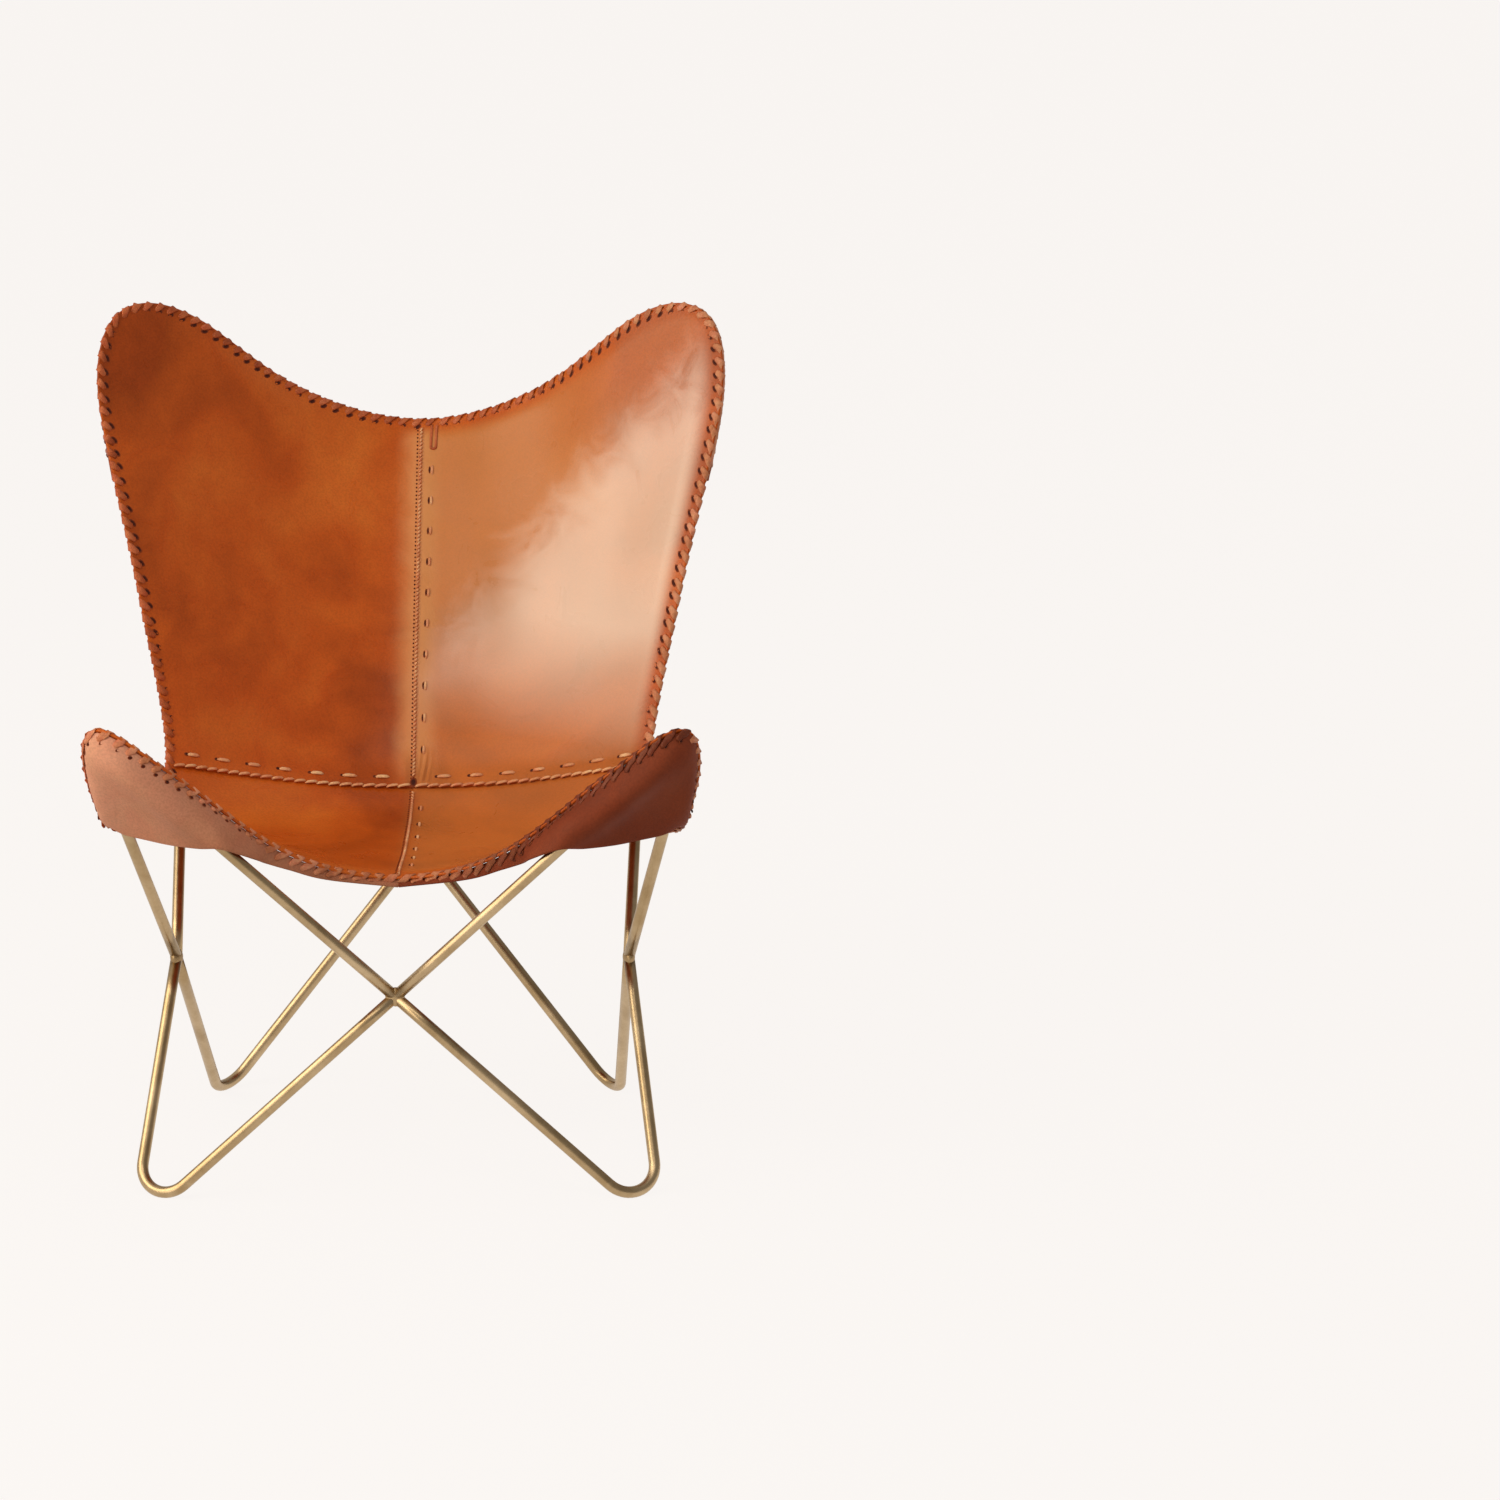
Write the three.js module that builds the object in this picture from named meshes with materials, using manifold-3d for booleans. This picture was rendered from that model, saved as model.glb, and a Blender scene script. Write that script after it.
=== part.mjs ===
// Leather sling chair on a welded frame of bent brass rod.
// Millimetres, z up, the sitter faces -y, the floor is z = 0.
import * as THREE from 'three';
import { mergeVertices } from 'three/addons/utils/BufferGeometryUtils.js';
import Module from 'manifold-3d';

const wasm = await Module();
wasm.setup();

// Frame sizes, measured on the rod axis, y counted back from the front feet
const rodDiameter = 12.7;
const footBendRadius = 33;
const tipBendRadius = 25;
const footFlatDepth = 0.5;
const frontFootHalf = 288;
const backFootHalf = 231;
const footDepth = 425;
const frontCrossBack = 24;
const frontCrossHeight = 222;
const backCrossBack = 504;
const backCrossHeight = 269;
const sideJointHalf = 249;
const sideJointBack = 157;
const sideJointHeight = 230;
const armTipHalf = 320;
const armTipForward = 17;
const armTipHeight = 526;
const earTipHalf = 352;
const earTipBack = 520;
const earTipHeight = 969;
const backRodBendHalf = 258;
const backRodBendBack = 358;
const backRodBendHeight = 425;
const backRodBendRadius = 120;

// Welds
const weldSwell = 1.12;
const weldGap = 0.3;

// Sling sizes, on the middle of the leather
const leatherThickness = 3.2;
const frontEdgeBack = 102;
const frontEdgeHeight = 334;
const seatMiddleBack = 248;
const seatMiddleHeight = 330;
const crossSeamBack = 387;
const crossSeamHeight = 364;
const topEdgeBack = 642;
const topEdgeHeight = 744;
const seatEdgeHalf = 270;
const seatEdgeBack = 300;
const seatEdgeHeight = 412;
const armRound = [0.22, 0.3];
const earRound = [0.36, 0.33];
const seamGap = 0.4;

// Pockets, key by key from the middle of the front or top edge round the tip and down the side edge.
// edge: place on the laced edge, 0 to 1 along the front or top and on towards 2 down the side.
// mouth: place of the open edge, along the rod to the crossing, towards the other leg and off their plane.
// hang: where no mouth is given, how far the open edge hangs from the laced edge.
// bulge and peak: how far the leather bulges between the two edges, and where on the way it does most.
const armPocket = [
  { edge: 0.002, hang: 6, bulge: 0, peak: 0.5 },
  { edge: 0.22, hang: 8, bulge: 0, peak: 0.5 },
  { edge: 0.33, hang: 11.5, bulge: 0, peak: 0.5 },
  { edge: 0.41, hang: 18, bulge: 0, peak: 0.5 },
  { edge: 0.47, mouth: [222, -14, -12], bulge: 1, peak: 0.5 },
  { edge: 0.56, mouth: [190, -13, 10], bulge: 6, peak: 0.6 },
  { edge: 0.67, mouth: [174, 14, 11], bulge: 17.5, peak: 0.42 },
  { edge: 0.84, mouth: [154, 44, 10.5], bulge: 20, peak: 0.26 },
  { edge: 1.06, mouth: [133, 69, 10], bulge: 12, peak: 0.25 },
  { edge: 1.22, mouth: [115, 88, 10], bulge: 9, peak: 0.4 },
  { edge: 1.35, mouth: [98, 99, 8], bulge: 4, peak: 0.5 },
  { edge: 1.43, hang: 5, bulge: 1, peak: 0.5 },
];
const earPocket = [
  { edge: 0.42, hang: 8, bulge: 1, peak: 0.4 },
  { edge: 0.52, mouth: [262, -84, 4], bulge: 8, peak: 0.35 },
  { edge: 0.62, mouth: [282, -48, 9], bulge: 14, peak: 0.3 },
  { edge: 0.74, mouth: [288, -12, 13.5], bulge: 26, peak: 0.33 },
  { edge: 0.9, mouth: [286, 24, 12.5], bulge: 30, peak: 0.23 },
  { edge: 1.06, mouth: [281, 58, 11.5], bulge: 26, peak: 0.22 },
  { edge: 1.18, mouth: [273, 88, 10], bulge: 15, peak: 0.3 },
  { edge: 1.29, mouth: [256, 110, 10], bulge: 9, peak: 0.4 },
  { edge: 1.38, mouth: [232, 124, 4], bulge: 4, peak: 0.5 },
  { edge: 1.43, hang: 5, bulge: 1, peak: 0.5 },
];
// Which way the open edge hangs and the leather bulges: shares of the outward and the plain directions
const armHang = { out: 0.5, way: [0, -0.3, -1], lean: 0.6 };
const earHang = { out: 1, way: [0, 0, -0.6], lean: 0 };
const pocketGap = 0.4;
const pocketInset = 0.008;

// Laces
const edgeLaceDiameter = 6;
const seamLaceDiameter = 2.4;
const holdLaceDiameter = 1.6;
const holdLaceOffset = 11;
const crossHoldLaceOffset = 15;
const laceGap = 0.3;
const edgeLaceReach = 0.992;
const seamLaceStart = 0.012;
const seamLaceReach = 0.97;

const rodRadius = rodDiameter / 2;
const leatherHalf = leatherThickness / 2;
const v3 = (x, y, z) => new THREE.Vector3(x, y, z);
const mix = (a, b, k) => a.clone().lerp(b, k);

// Closed solid from a three.js geometry, and back again
function toSolid(geometry) {
  const plain = new THREE.BufferGeometry();
  plain.setAttribute('position', geometry.getAttribute('position'));
  if (geometry.index) plain.setIndex(geometry.index);
  const welded = mergeVertices(plain, 1e-4);
  const mesh = new wasm.Mesh({
    numProp: 3,
    vertProperties: new Float32Array(welded.getAttribute('position').array),
    triVerts: new Uint32Array(welded.index.array),
  });
  return new wasm.Manifold(mesh);
}

function toGeometry(solid) {
  const mesh = solid.getMesh();
  const geometry = new THREE.BufferGeometry();
  geometry.setAttribute('position', new THREE.BufferAttribute(new Float32Array(mesh.vertProperties), 3));
  geometry.setIndex(new THREE.BufferAttribute(new Uint32Array(mesh.triVerts), 1));
  geometry.computeVertexNormals();
  return geometry;
}

// A path through given stations; one extrusion step per station
class StationPath extends THREE.Curve {
  constructor(points, tangents) {
    super();
    this.points = points;
    this.tangents = tangents;
  }

  at(list, t) {
    const k = t * (list.length - 1);
    const i = Math.min(Math.floor(k), list.length - 2);
    return mix(list[i], list[i + 1], k - i);
  }

  getPoint(t) {
    return this.at(this.points, t);
  }

  getPointAt(t) {
    return this.at(this.points, t);
  }

  getTangentAt(t) {
    return this.at(this.tangents, t).normalize();
  }
}

// Solid round bar along a path
function bar(path, radius, sides) {
  const ring = new THREE.Shape();
  ring.absarc(0, 0, radius, 0, Math.PI * 2, false);
  return new THREE.ExtrudeGeometry(ring, {
    steps: path.points.length - 1,
    curveSegments: sides / 2,
    extrudePath: path,
    bevelEnabled: false,
  });
}

// Stations of a rod through corner points, each inner corner bent on its own radius
function bentPath(corners, radii, bendSteps) {
  const points = [corners[0].clone()];
  const tangents = [corners[1].clone().sub(corners[0]).normalize()];
  for (let i = 1; i < corners.length - 1; i += 1) {
    const into = corners[i].clone().sub(corners[i - 1]).normalize();
    const out = corners[i + 1].clone().sub(corners[i]).normalize();
    const turn = into.angleTo(out);
    const setback = radii[i - 1] * Math.tan(turn / 2);
    const begin = corners[i].clone().addScaledVector(into, -setback);
    const inward = out.clone().addScaledVector(into, -out.dot(into)).normalize();
    for (let k = 0; k <= bendSteps; k += 1) {
      const a = (turn * k) / bendSteps;
      const point = begin.clone();
      point.addScaledVector(into, radii[i - 1] * Math.sin(a));
      point.addScaledVector(inward, radii[i - 1] * (1 - Math.cos(a)));
      points.push(point);
      tangents.push(into.clone().multiplyScalar(Math.cos(a)).addScaledVector(inward, Math.sin(a)));
    }
  }
  const last = corners.length - 1;
  points.push(corners[last].clone());
  tangents.push(corners[last].clone().sub(corners[last - 1]).normalize());
  return new StationPath(points, tangents);
}

// Frame points of the right side
const frontCross = v3(0, frontCrossBack, frontCrossHeight);
const backCross = v3(0, backCrossBack, backCrossHeight);
const sideJoint = v3(sideJointHalf, sideJointBack, sideJointHeight);
const armTip = v3(armTipHalf, -armTipForward, armTipHeight);
const earTip = v3(earTipHalf, earTipBack, earTipHeight);
const backRodBend = v3(backRodBendHalf, backRodBendBack, backRodBendHeight);

// Foot corner lowered until the underside of its bend sits just under the floor
function footCorner(half, back, cross) {
  const corner = v3(half, back, 0);
  for (let round = 0; round < 8; round += 1) {
    const path = bentPath([cross, corner, sideJoint], [footBendRadius], 48);
    const lowest = Math.min(...path.points.map((p) => p.z));
    corner.z -= lowest - rodRadius + footFlatDepth;
  }
  return corner;
}

const frontFoot = footCorner(frontFootHalf, 0, frontCross);
const backFoot = footCorner(backFootHalf, footDepth, backCross);

// Each rod runs from a cross weld out to its bend and on to a side weld
const rodPlans = {
  front_foot_rod: { corners: [frontCross, frontFoot, sideJoint], radii: [footBendRadius] },
  back_foot_rod: { corners: [backCross, backFoot, sideJoint], radii: [footBendRadius] },
  front_tip_rod: { corners: [frontCross, armTip, sideJoint], radii: [tipBendRadius] },
  back_tip_rod: {
    corners: [backCross, earTip, backRodBend, sideJoint],
    radii: [tipBendRadius, backRodBendRadius],
  },
};

const mirror = (p, side) => v3(p.x * side, p.y, p.z);
const sides = { left: -1, right: 1 };
const rods = [];
for (const [name, plan] of Object.entries(rodPlans)) {
  for (const [word, side] of Object.entries(sides)) {
    const corners = plan.corners.map((p) => mirror(p, side));
    rods.push({ name: `${name}_${word}`, corners, radii: plan.radii });
  }
}

// Directions in which rods leave a weld
function leaving(rod, weld) {
  const n = rod.corners.length;
  if (rod.corners[0].distanceTo(weld) < 1e-6) {
    return rod.corners[1].clone().sub(weld).normalize();
  }
  if (rod.corners[n - 1].distanceTo(weld) < 1e-6) {
    return rod.corners[n - 2].clone().sub(weld).normalize();
  }
  return null;
}

// Block whose face through a point faces along a direction
function block(point, facing, size) {
  const geometry = new THREE.BoxGeometry(size, size, size);
  const turn = new THREE.Quaternion().setFromUnitVectors(v3(0, 0, 1), facing);
  geometry.applyQuaternion(turn);
  const centre = point.clone().addScaledVector(facing, -size / 2);
  geometry.translate(centre.x, centre.y, centre.z);
  return toSolid(geometry);
}

const welds = {
  front_cross_weld: frontCross,
  back_cross_weld: backCross,
  left_side_weld: mirror(sideJoint, -1),
  right_side_weld: sideJoint,
};
const weldRadius = rodRadius * weldSwell;
const ball = (radius, at) => {
  const geometry = new THREE.SphereGeometry(radius, 14, 8);
  geometry.translate(at.x, at.y, at.z);
  return geometry;
};

function rodSolid(rod) {
  let solid = toSolid(bar(bentPath(rod.corners, rod.radii, 8), rodRadius, 14));
  for (const weld of Object.values(welds)) {
    const own = leaving(rod, weld);
    if (own === null) continue;
    for (const other of rods) {
      const away = leaving(other, weld);
      if (other === rod || away === null) continue;
      const facing = own.clone().sub(away).normalize();
      const point = weld.clone().addScaledVector(facing, weldGap / 2);
      solid = solid.subtract(block(point, facing, rodDiameter * 8));
    }
    solid = solid.subtract(toSolid(ball(weldRadius + weldGap, weld)));
  }
  return solid.subtract(block(v3(rod.corners[1].x, rod.corners[1].y, 0), v3(0, 0, 1), 400));
}

// Sling: rows of points from the front edge to the top edge, each from the middle to the right edge.
// The corners reach past the rounded tips; edge points are tied to the rods they hang on.
const armLeg = (k) => mix(frontCross, armTip, k);
const earLeg = (k) => mix(backCross, earTip, k);
const backLeg = (k) => mix(backRodBend, earTip, k);
const off = (p, x, y, z) => p.clone().add(v3(x, y, z));
const seatEdge = v3(seatEdgeHalf, seatEdgeBack, seatEdgeHeight);
const backRow = (k) => v3(
  0,
  crossSeamBack + (topEdgeBack - crossSeamBack) * k,
  crossSeamHeight + (topEdgeHeight - crossSeamHeight) * k,
);
const frontRowMiddle = v3(0, frontEdgeBack, frontEdgeHeight);
const frontRowEdge = off(armTip, 29, -7, 42);
const seatRowMiddle = v3(0, seatMiddleBack, seatMiddleHeight);
const seatRowEdge = v3(seatEdgeHalf + 38, seatEdgeBack - 206, seatEdgeHeight - 19);
const seamRowMiddle = backRow(0);
const lowRowEdge = off(backLeg(0.32), 14, -44, -7);
const highRowEdge = off(backLeg(0.69), 23, -46, -18);
const topRowEdge = off(earTip, 29, -42, 24);
const between = (a, b, k, back, up) => off(mix(a, b, k), 0, back, up);
const netRows = [
  [frontRowMiddle, off(armLeg(0.37), -6, 44, 38), off(armLeg(0.74), -8, 5, 25), frontRowEdge],
  [seatRowMiddle, between(seatRowMiddle, seatRowEdge, 0.34, 26, -13),
    between(seatRowMiddle, seatRowEdge, 0.68, 22, -11), seatRowEdge],
  [seamRowMiddle, between(seamRowMiddle, seatEdge, 0.345, 19, -11),
    between(seamRowMiddle, seatEdge, 0.685, 17, -9), seatEdge],
  [backRow(1 / 3), between(backRow(1 / 3), lowRowEdge, 0.345, 19, -24),
    between(backRow(1 / 3), lowRowEdge, 0.69, 16, -21), lowRowEdge],
  [backRow(2 / 3), between(backRow(2 / 3), highRowEdge, 0.34, 23, -36),
    between(backRow(2 / 3), highRowEdge, 0.66, 16, -31), highRowEdge],
  [backRow(1), between(backRow(1), topRowEdge, 0.333, 23, -46),
    between(backRow(1), topRowEdge, 0.635, 2, -27), topRowEdge],
];
const seamRow = 2;

// Smooth curve through values in even steps
function smooth(list, u) {
  const n = list.length;
  const i = Math.min(Math.max(Math.floor(u), 0), n - 2);
  const w = u - i;
  const b = list[i];
  const c = list[i + 1];
  const a = i > 0 ? list[i - 1] : b.clone().multiplyScalar(2).sub(c);
  const d = i + 2 < n ? list[i + 2] : c.clone().multiplyScalar(2).sub(b);
  const point = b.clone().multiplyScalar(2);
  point.addScaledVector(c, w).addScaledVector(a, -w);
  point.addScaledVector(a, 2 * w * w).addScaledVector(b, -5 * w * w);
  point.addScaledVector(c, 4 * w * w).addScaledVector(d, -w * w);
  point.addScaledVector(b, 3 * w ** 3).addScaledVector(a, -(w ** 3));
  point.addScaledVector(c, -3 * w ** 3).addScaledVector(d, w ** 3);
  return point.multiplyScalar(0.5);
}

const wholeRows = netRows.map((row) => [...row.slice(1).reverse().map((p) => mirror(p, -1)), ...row]);

// Point on the sling: s from -1 to 1 across, t from -1 (front) through 0 (cross seam) to 1 (top)
function onSling(s, t) {
  const rowsAhead = wholeRows.length - 1 - seamRow;
  const u = t < 0 ? seamRow * (1 + t) : seamRow + rowsAhead * t;
  const spread = (wholeRows[0].length - 1) / 2;
  const across = wholeRows[0].map((_, i) => smooth(wholeRows.map((row) => row[i]), u));
  return smooth(across, (s + 1) * spread);
}

// Direction pointing away from the sitter, square to the leather
function outward(s, t) {
  const h = 1e-3;
  const sa = Math.min(s + h, 1);
  const sb = Math.max(s - h, -1);
  const ta = Math.min(t + h, 1);
  const tb = Math.max(t - h, -1);
  const along = onSling(s, ta).sub(onSling(s, tb));
  return along.cross(onSling(sa, t).sub(onSling(sb, t))).normalize();
}

// Panel corner turned into a round tip; p and q run from the seams to the edges
function rounded(p, q, round) {
  const x = Math.max((p - 1 + round[0]) / round[0], 0);
  const y = Math.max((q - 1 + round[1]) / round[1], 0);
  return [
    x > 0 ? 1 - round[0] + round[0] * x * Math.sqrt(1 - (y * y) / 2) : p,
    y > 0 ? 1 - round[1] + round[1] * y * Math.sqrt(1 - (x * x) / 2) : q,
  ];
}

const quarters = {
  seat_left: { side: -1, half: -1, round: armRound },
  seat_right: { side: 1, half: -1, round: armRound },
  back_left: { side: -1, half: 1, round: earRound },
  back_right: { side: 1, half: 1, round: earRound },
};

// Place on the leather of one quarter, with its outward direction
function place(quarter, p, q) {
  const [a, b] = rounded(p, q, quarter.round);
  const s = quarter.side * a;
  const t = quarter.half * b;
  return { at: onSling(s, t), out: outward(s, t) };
}

// Closed plate between two sheets of points, rows by columns; flip turns it outside in
function plate(inner, outer, flip) {
  const rows = inner.length;
  const cols = inner[0].length;
  const flat = [...inner.flat(), ...outer.flat()];
  const shift = rows * cols;
  const faces = [];
  const quad = (a, b, c, d) => {
    if (flip) faces.push(a, c, b, a, d, c);
    else faces.push(a, b, c, a, c, d);
  };
  const id = (i, j) => i * cols + j;
  for (let i = 0; i < rows - 1; i += 1) {
    for (let j = 0; j < cols - 1; j += 1) {
      quad(id(i, j), id(i + 1, j), id(i + 1, j + 1), id(i, j + 1));
      quad(shift + id(i, j), shift + id(i, j + 1), shift + id(i + 1, j + 1), shift + id(i + 1, j));
    }
  }
  for (let i = 0; i < rows - 1; i += 1) {
    quad(id(i, 0), shift + id(i, 0), shift + id(i + 1, 0), id(i + 1, 0));
    quad(id(i, cols - 1), id(i + 1, cols - 1), shift + id(i + 1, cols - 1), shift + id(i, cols - 1));
  }
  for (let j = 0; j < cols - 1; j += 1) {
    quad(id(0, j), id(0, j + 1), shift + id(0, j + 1), shift + id(0, j));
    quad(id(rows - 1, j), shift + id(rows - 1, j), shift + id(rows - 1, j + 1), id(rows - 1, j + 1));
  }
  const geometry = new THREE.BufferGeometry();
  const xyz = new Float32Array(flat.flatMap((p) => [p.x, p.y, p.z]));
  geometry.setAttribute('position', new THREE.BufferAttribute(xyz, 3));
  geometry.setIndex(faces);
  geometry.computeVertexNormals();
  return geometry;
}

const steps = (n) => Array.from({ length: n + 1 }, (_, i) => i / n);

// Stations across and along a panel: the seam, the holding lace beside it, then even steps to the edge
const holdShare = holdLaceOffset / seatEdgeHalf;
const holdRise = crossHoldLaceOffset / (topEdgeHeight - crossSeamHeight);
const evenSteps = steps(13).slice(1);
const pStations = [0, holdShare, ...evenSteps];
const qStations = [0, holdRise, ...evenSteps];
const pocketRuns = steps(30);
const pocketRows = steps(9);

// One leather panel, kept half a seam gap clear of its neighbours
function panel(quarter) {
  const pFrom = seamGap / 2 / seatEdgeHalf;
  const qSpan = quarter.half < 0 ? crossSeamBack - frontEdgeBack : topEdgeHeight - crossSeamHeight;
  const qFrom = seamGap / 2 / qSpan;
  const sheet = (way) => pStations.map((p) => qStations.map((q) => {
    const spot = place(quarter, Math.max(p, pFrom), Math.max(q, qFrom));
    return spot.at.addScaledVector(spot.out, way * leatherHalf);
  }));
  return plate(sheet(-1), sheet(1), quarter.side * quarter.half < 0);
}

// One pocket behind a tip: laced to the panel along the edge, bulging over the rod to its open mouth
function pocket(quarter, keys, plane, hang) {
  const last = keys.length - 1;
  const shares = keys.map((key) => v3(key.edge, key.bulge, key.peak));
  const lean = plane.normal.clone().addScaledVector(plane.across, -hang.lean);
  const laced = (k) => {
    const reach = 1 - pocketInset;
    const spot = place(quarter, Math.min(k, 1) * reach, Math.min(2 - k, 1) * reach);
    spot.at.addScaledVector(spot.out, leatherThickness + pocketGap);
    return spot;
  };
  const mouths = keys.map((key) => {
    if (key.mouth) {
      const point = plane.point.clone().addScaledVector(plane.along, key.mouth[0]);
      point.addScaledVector(plane.across, key.mouth[1]);
      return point.addScaledVector(plane.normal, key.mouth[2]);
    }
    const edge = laced(key.edge);
    const way = v3(...hang.way).addScaledVector(edge.out, hang.out).normalize();
    return edge.at.addScaledVector(way, key.hang);
  });
  const line = (k) => {
    const share = smooth(shares, k * last);
    return { share, edge: laced(share.x).at, mouth: smooth(mouths, k * last) };
  };
  // Points from the laced edge to the mouth at one place along the pocket
  const across = (k) => {
    const h = 1e-3;
    const here = line(k);
    const next = line(Math.min(k + h, 1));
    const back = line(Math.max(k - h, 0));
    const run = next.edge.sub(back.edge).normalize().add(next.mouth.sub(back.mouth).normalize());
    const chord = here.mouth.clone().sub(here.edge);
    const bulgeWay = run.cross(chord).normalize();
    if (bulgeWay.dot(lean) < 0) bulgeWay.negate();
    const peak = here.share.z;
    const fall = (1 - peak) / peak;
    const top = peak * (1 - peak) ** fall;
    return pocketRows.map((v) => {
      const rise = (here.share.y * v * (1 - v) ** fall) / top;
      return here.edge.clone().addScaledVector(chord, v).addScaledVector(bulgeWay, rise);
    });
  };
  const grid = pocketRuns.map(across);
  const near = (list, i) => list[Math.min(Math.max(i, 0), list.length - 1)];
  const facing = (i, j) => {
    const along = near(grid, i + 1)[j].clone().sub(near(grid, i - 1)[j]);
    return along.cross(near(grid[i], j + 1).clone().sub(near(grid[i], j - 1))).normalize();
  };
  const middleRow = Math.floor(grid.length / 2);
  const flip = facing(middleRow, 4).dot(lean) > 0;
  const outSign = flip ? 1 : -1;
  const sheet = (way) => grid.map((row, i) => row.map((point, j) => {
    return point.clone().addScaledVector(facing(i, j), way * outSign * leatherHalf);
  }));
  return plate(sheet(-1), sheet(1), flip);
}

// Plane of a bent rod tip, with the directions along the leg to the crossing and towards the other leg
function tipPlane(tip, a, b, side) {
  const corners = [tip, a, b].map((p) => mirror(p, side));
  const along = corners[1].clone().sub(corners[0]).normalize();
  const leg = corners[2].clone().sub(corners[0]);
  const across = leg.addScaledVector(along, -leg.dot(along)).normalize();
  return { point: corners[0], along, across, normal: along.clone().cross(across) };
}

const facingAway = (plane, quarter) => {
  const away = place(quarter, 0.8, 0.8).out;
  if (plane.normal.dot(away) < 0) plane.normal.negate();
  return plane;
};

// Round lace along a run of places
function lace(spots, diameter) {
  const tangents = spots.map((p, i) => {
    const ahead = spots[Math.min(i + 1, spots.length - 1)];
    return ahead.clone().sub(spots[Math.max(i - 1, 0)]).normalize();
  });
  return bar(new StationPath(spots, tangents), diameter / 2, 6);
}

// Place just outside the laced edge of a quarter, square to the edge
function beside(quarter, p, q) {
  const h = 2e-3;
  const onEnd = q === 1;
  const one = onEnd ? place(quarter, Math.min(p + h, 1), 1) : place(quarter, 1, Math.min(q + h, 1));
  const two = onEnd ? place(quarter, Math.max(p - h, 0), 1) : place(quarter, 1, Math.max(q - h, 0));
  const edge = place(quarter, p, q);
  const within = place(quarter, p * 0.98, q * 0.98).at;
  const run = one.at.sub(two.at).cross(edge.out).normalize();
  if (run.dot(edge.at.clone().sub(within)) < 0) run.negate();
  return edge.at.addScaledVector(run, edgeLaceDiameter / 2 + laceGap);
}

// Lace runs along the edges, each from one rounded tip to the next
const endRun = (quarter) => pStations.map((k) => beside(quarter, Math.min(k, edgeLaceReach), 1));
const sideRun = (quarter) => qStations.map((k) => beside(quarter, 1, Math.min(k, edgeLaceReach)));
const join = (one, two) => [...one.reverse(), ...two.slice(1)];
const edgeRuns = {
  top_edge_lace: join(endRun(quarters.back_left), endRun(quarters.back_right)),
  front_edge_lace: join(endRun(quarters.seat_left), endRun(quarters.seat_right)),
  left_edge_lace: join(sideRun(quarters.back_left), sideRun(quarters.seat_left)),
  right_edge_lace: join(sideRun(quarters.back_right), sideRun(quarters.seat_right)),
};

// Place of a lace lying on the sitter's side of the leather
function onTop(s, t, diameter) {
  const out = outward(s, t);
  return onSling(s, t).addScaledVector(out, -(leatherHalf + laceGap + diameter / 2));
}

const inside = (k) => Math.min(Math.max(k, seamLaceStart), seamLaceReach);
const down = qStations.map(inside);
const acrossHalf = pStations.slice(1).map(inside);
const acrossAll = [...acrossHalf.map((s) => -s).reverse(), ...acrossHalf];
const seamRuns = {
  back_seam_lace: [down.map((t) => onTop(0, t, seamLaceDiameter)), seamLaceDiameter],
  seat_seam_lace: [down.map((t) => onTop(0, -t, seamLaceDiameter)), seamLaceDiameter],
  cross_seam_lace: [acrossAll.map((s) => onTop(s, 0, seamLaceDiameter)), seamLaceDiameter],
  back_holding_lace: [
    down.slice(2).map((t) => onTop(holdShare, t, holdLaceDiameter)),
    holdLaceDiameter,
  ],
  seat_holding_lace: [down.map((t) => onTop(holdShare, -t, holdLaceDiameter)), holdLaceDiameter],
  cross_holding_lace_left: [
    acrossHalf.map((s) => onTop(-s, holdRise, holdLaceDiameter)),
    holdLaceDiameter,
  ],
  cross_holding_lace_right: [
    acrossHalf.map((s) => onTop(s, holdRise, holdLaceDiameter)),
    holdLaceDiameter,
  ],
};

// Colours read off the lit faces
const brass = { color: 0xb0935c, roughness: 0.34, metalness: 0.95 };
const weldBrass = { color: 0x9c8352, roughness: 0.5, metalness: 0.9 };
const leather = { color: 0xa9531f, roughness: 0.42, metalness: 0 };
const pocketLeather = { color: 0x9a5334, roughness: 0.6, metalness: 0 };
const laceLeather = { color: 0xc0733f, roughness: 0.55, metalness: 0 };

const group = new THREE.Group();
group.name = 'sling_chair';
function add(name, geometry, look) {
  const mesh = new THREE.Mesh(geometry, new THREE.MeshStandardMaterial(look));
  mesh.name = name;
  group.add(mesh);
}

for (const rod of rods) add(rod.name, toGeometry(rodSolid(rod)), brass);
for (const [name, at] of Object.entries(welds)) {
  add(name, toGeometry(toSolid(ball(weldRadius, at))), weldBrass);
}
for (const [name, q] of Object.entries(quarters)) {
  add(name.replace('seat', 'seat_panel').replace('back', 'back_panel'), panel(q), leather);
}
for (const [word, side] of Object.entries(sides)) {
  const arm = quarters[`seat_${word}`];
  const ear = quarters[`back_${word}`];
  const armPlane = facingAway(tipPlane(armTip, frontCross, sideJoint, side), arm);
  const earPlane = facingAway(tipPlane(earTip, backCross, backRodBend, side), ear);
  add(`front_pocket_${word}`, pocket(arm, armPocket, armPlane, armHang), pocketLeather);
  add(`back_pocket_${word}`, pocket(ear, earPocket, earPlane, earHang), pocketLeather);
}
for (const [name, run] of Object.entries(edgeRuns)) add(name, lace(run, edgeLaceDiameter), laceLeather);
for (const [name, [run, size]] of Object.entries(seamRuns)) add(name, lace(run, size), laceLeather);

// Middle of the chair over the origin
const box = new THREE.Box3().setFromObject(group);
const middle = (box.min.y + box.max.y) / 2;
for (const mesh of group.children) mesh.geometry.translate(0, -middle, 0);

export default group;
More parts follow.
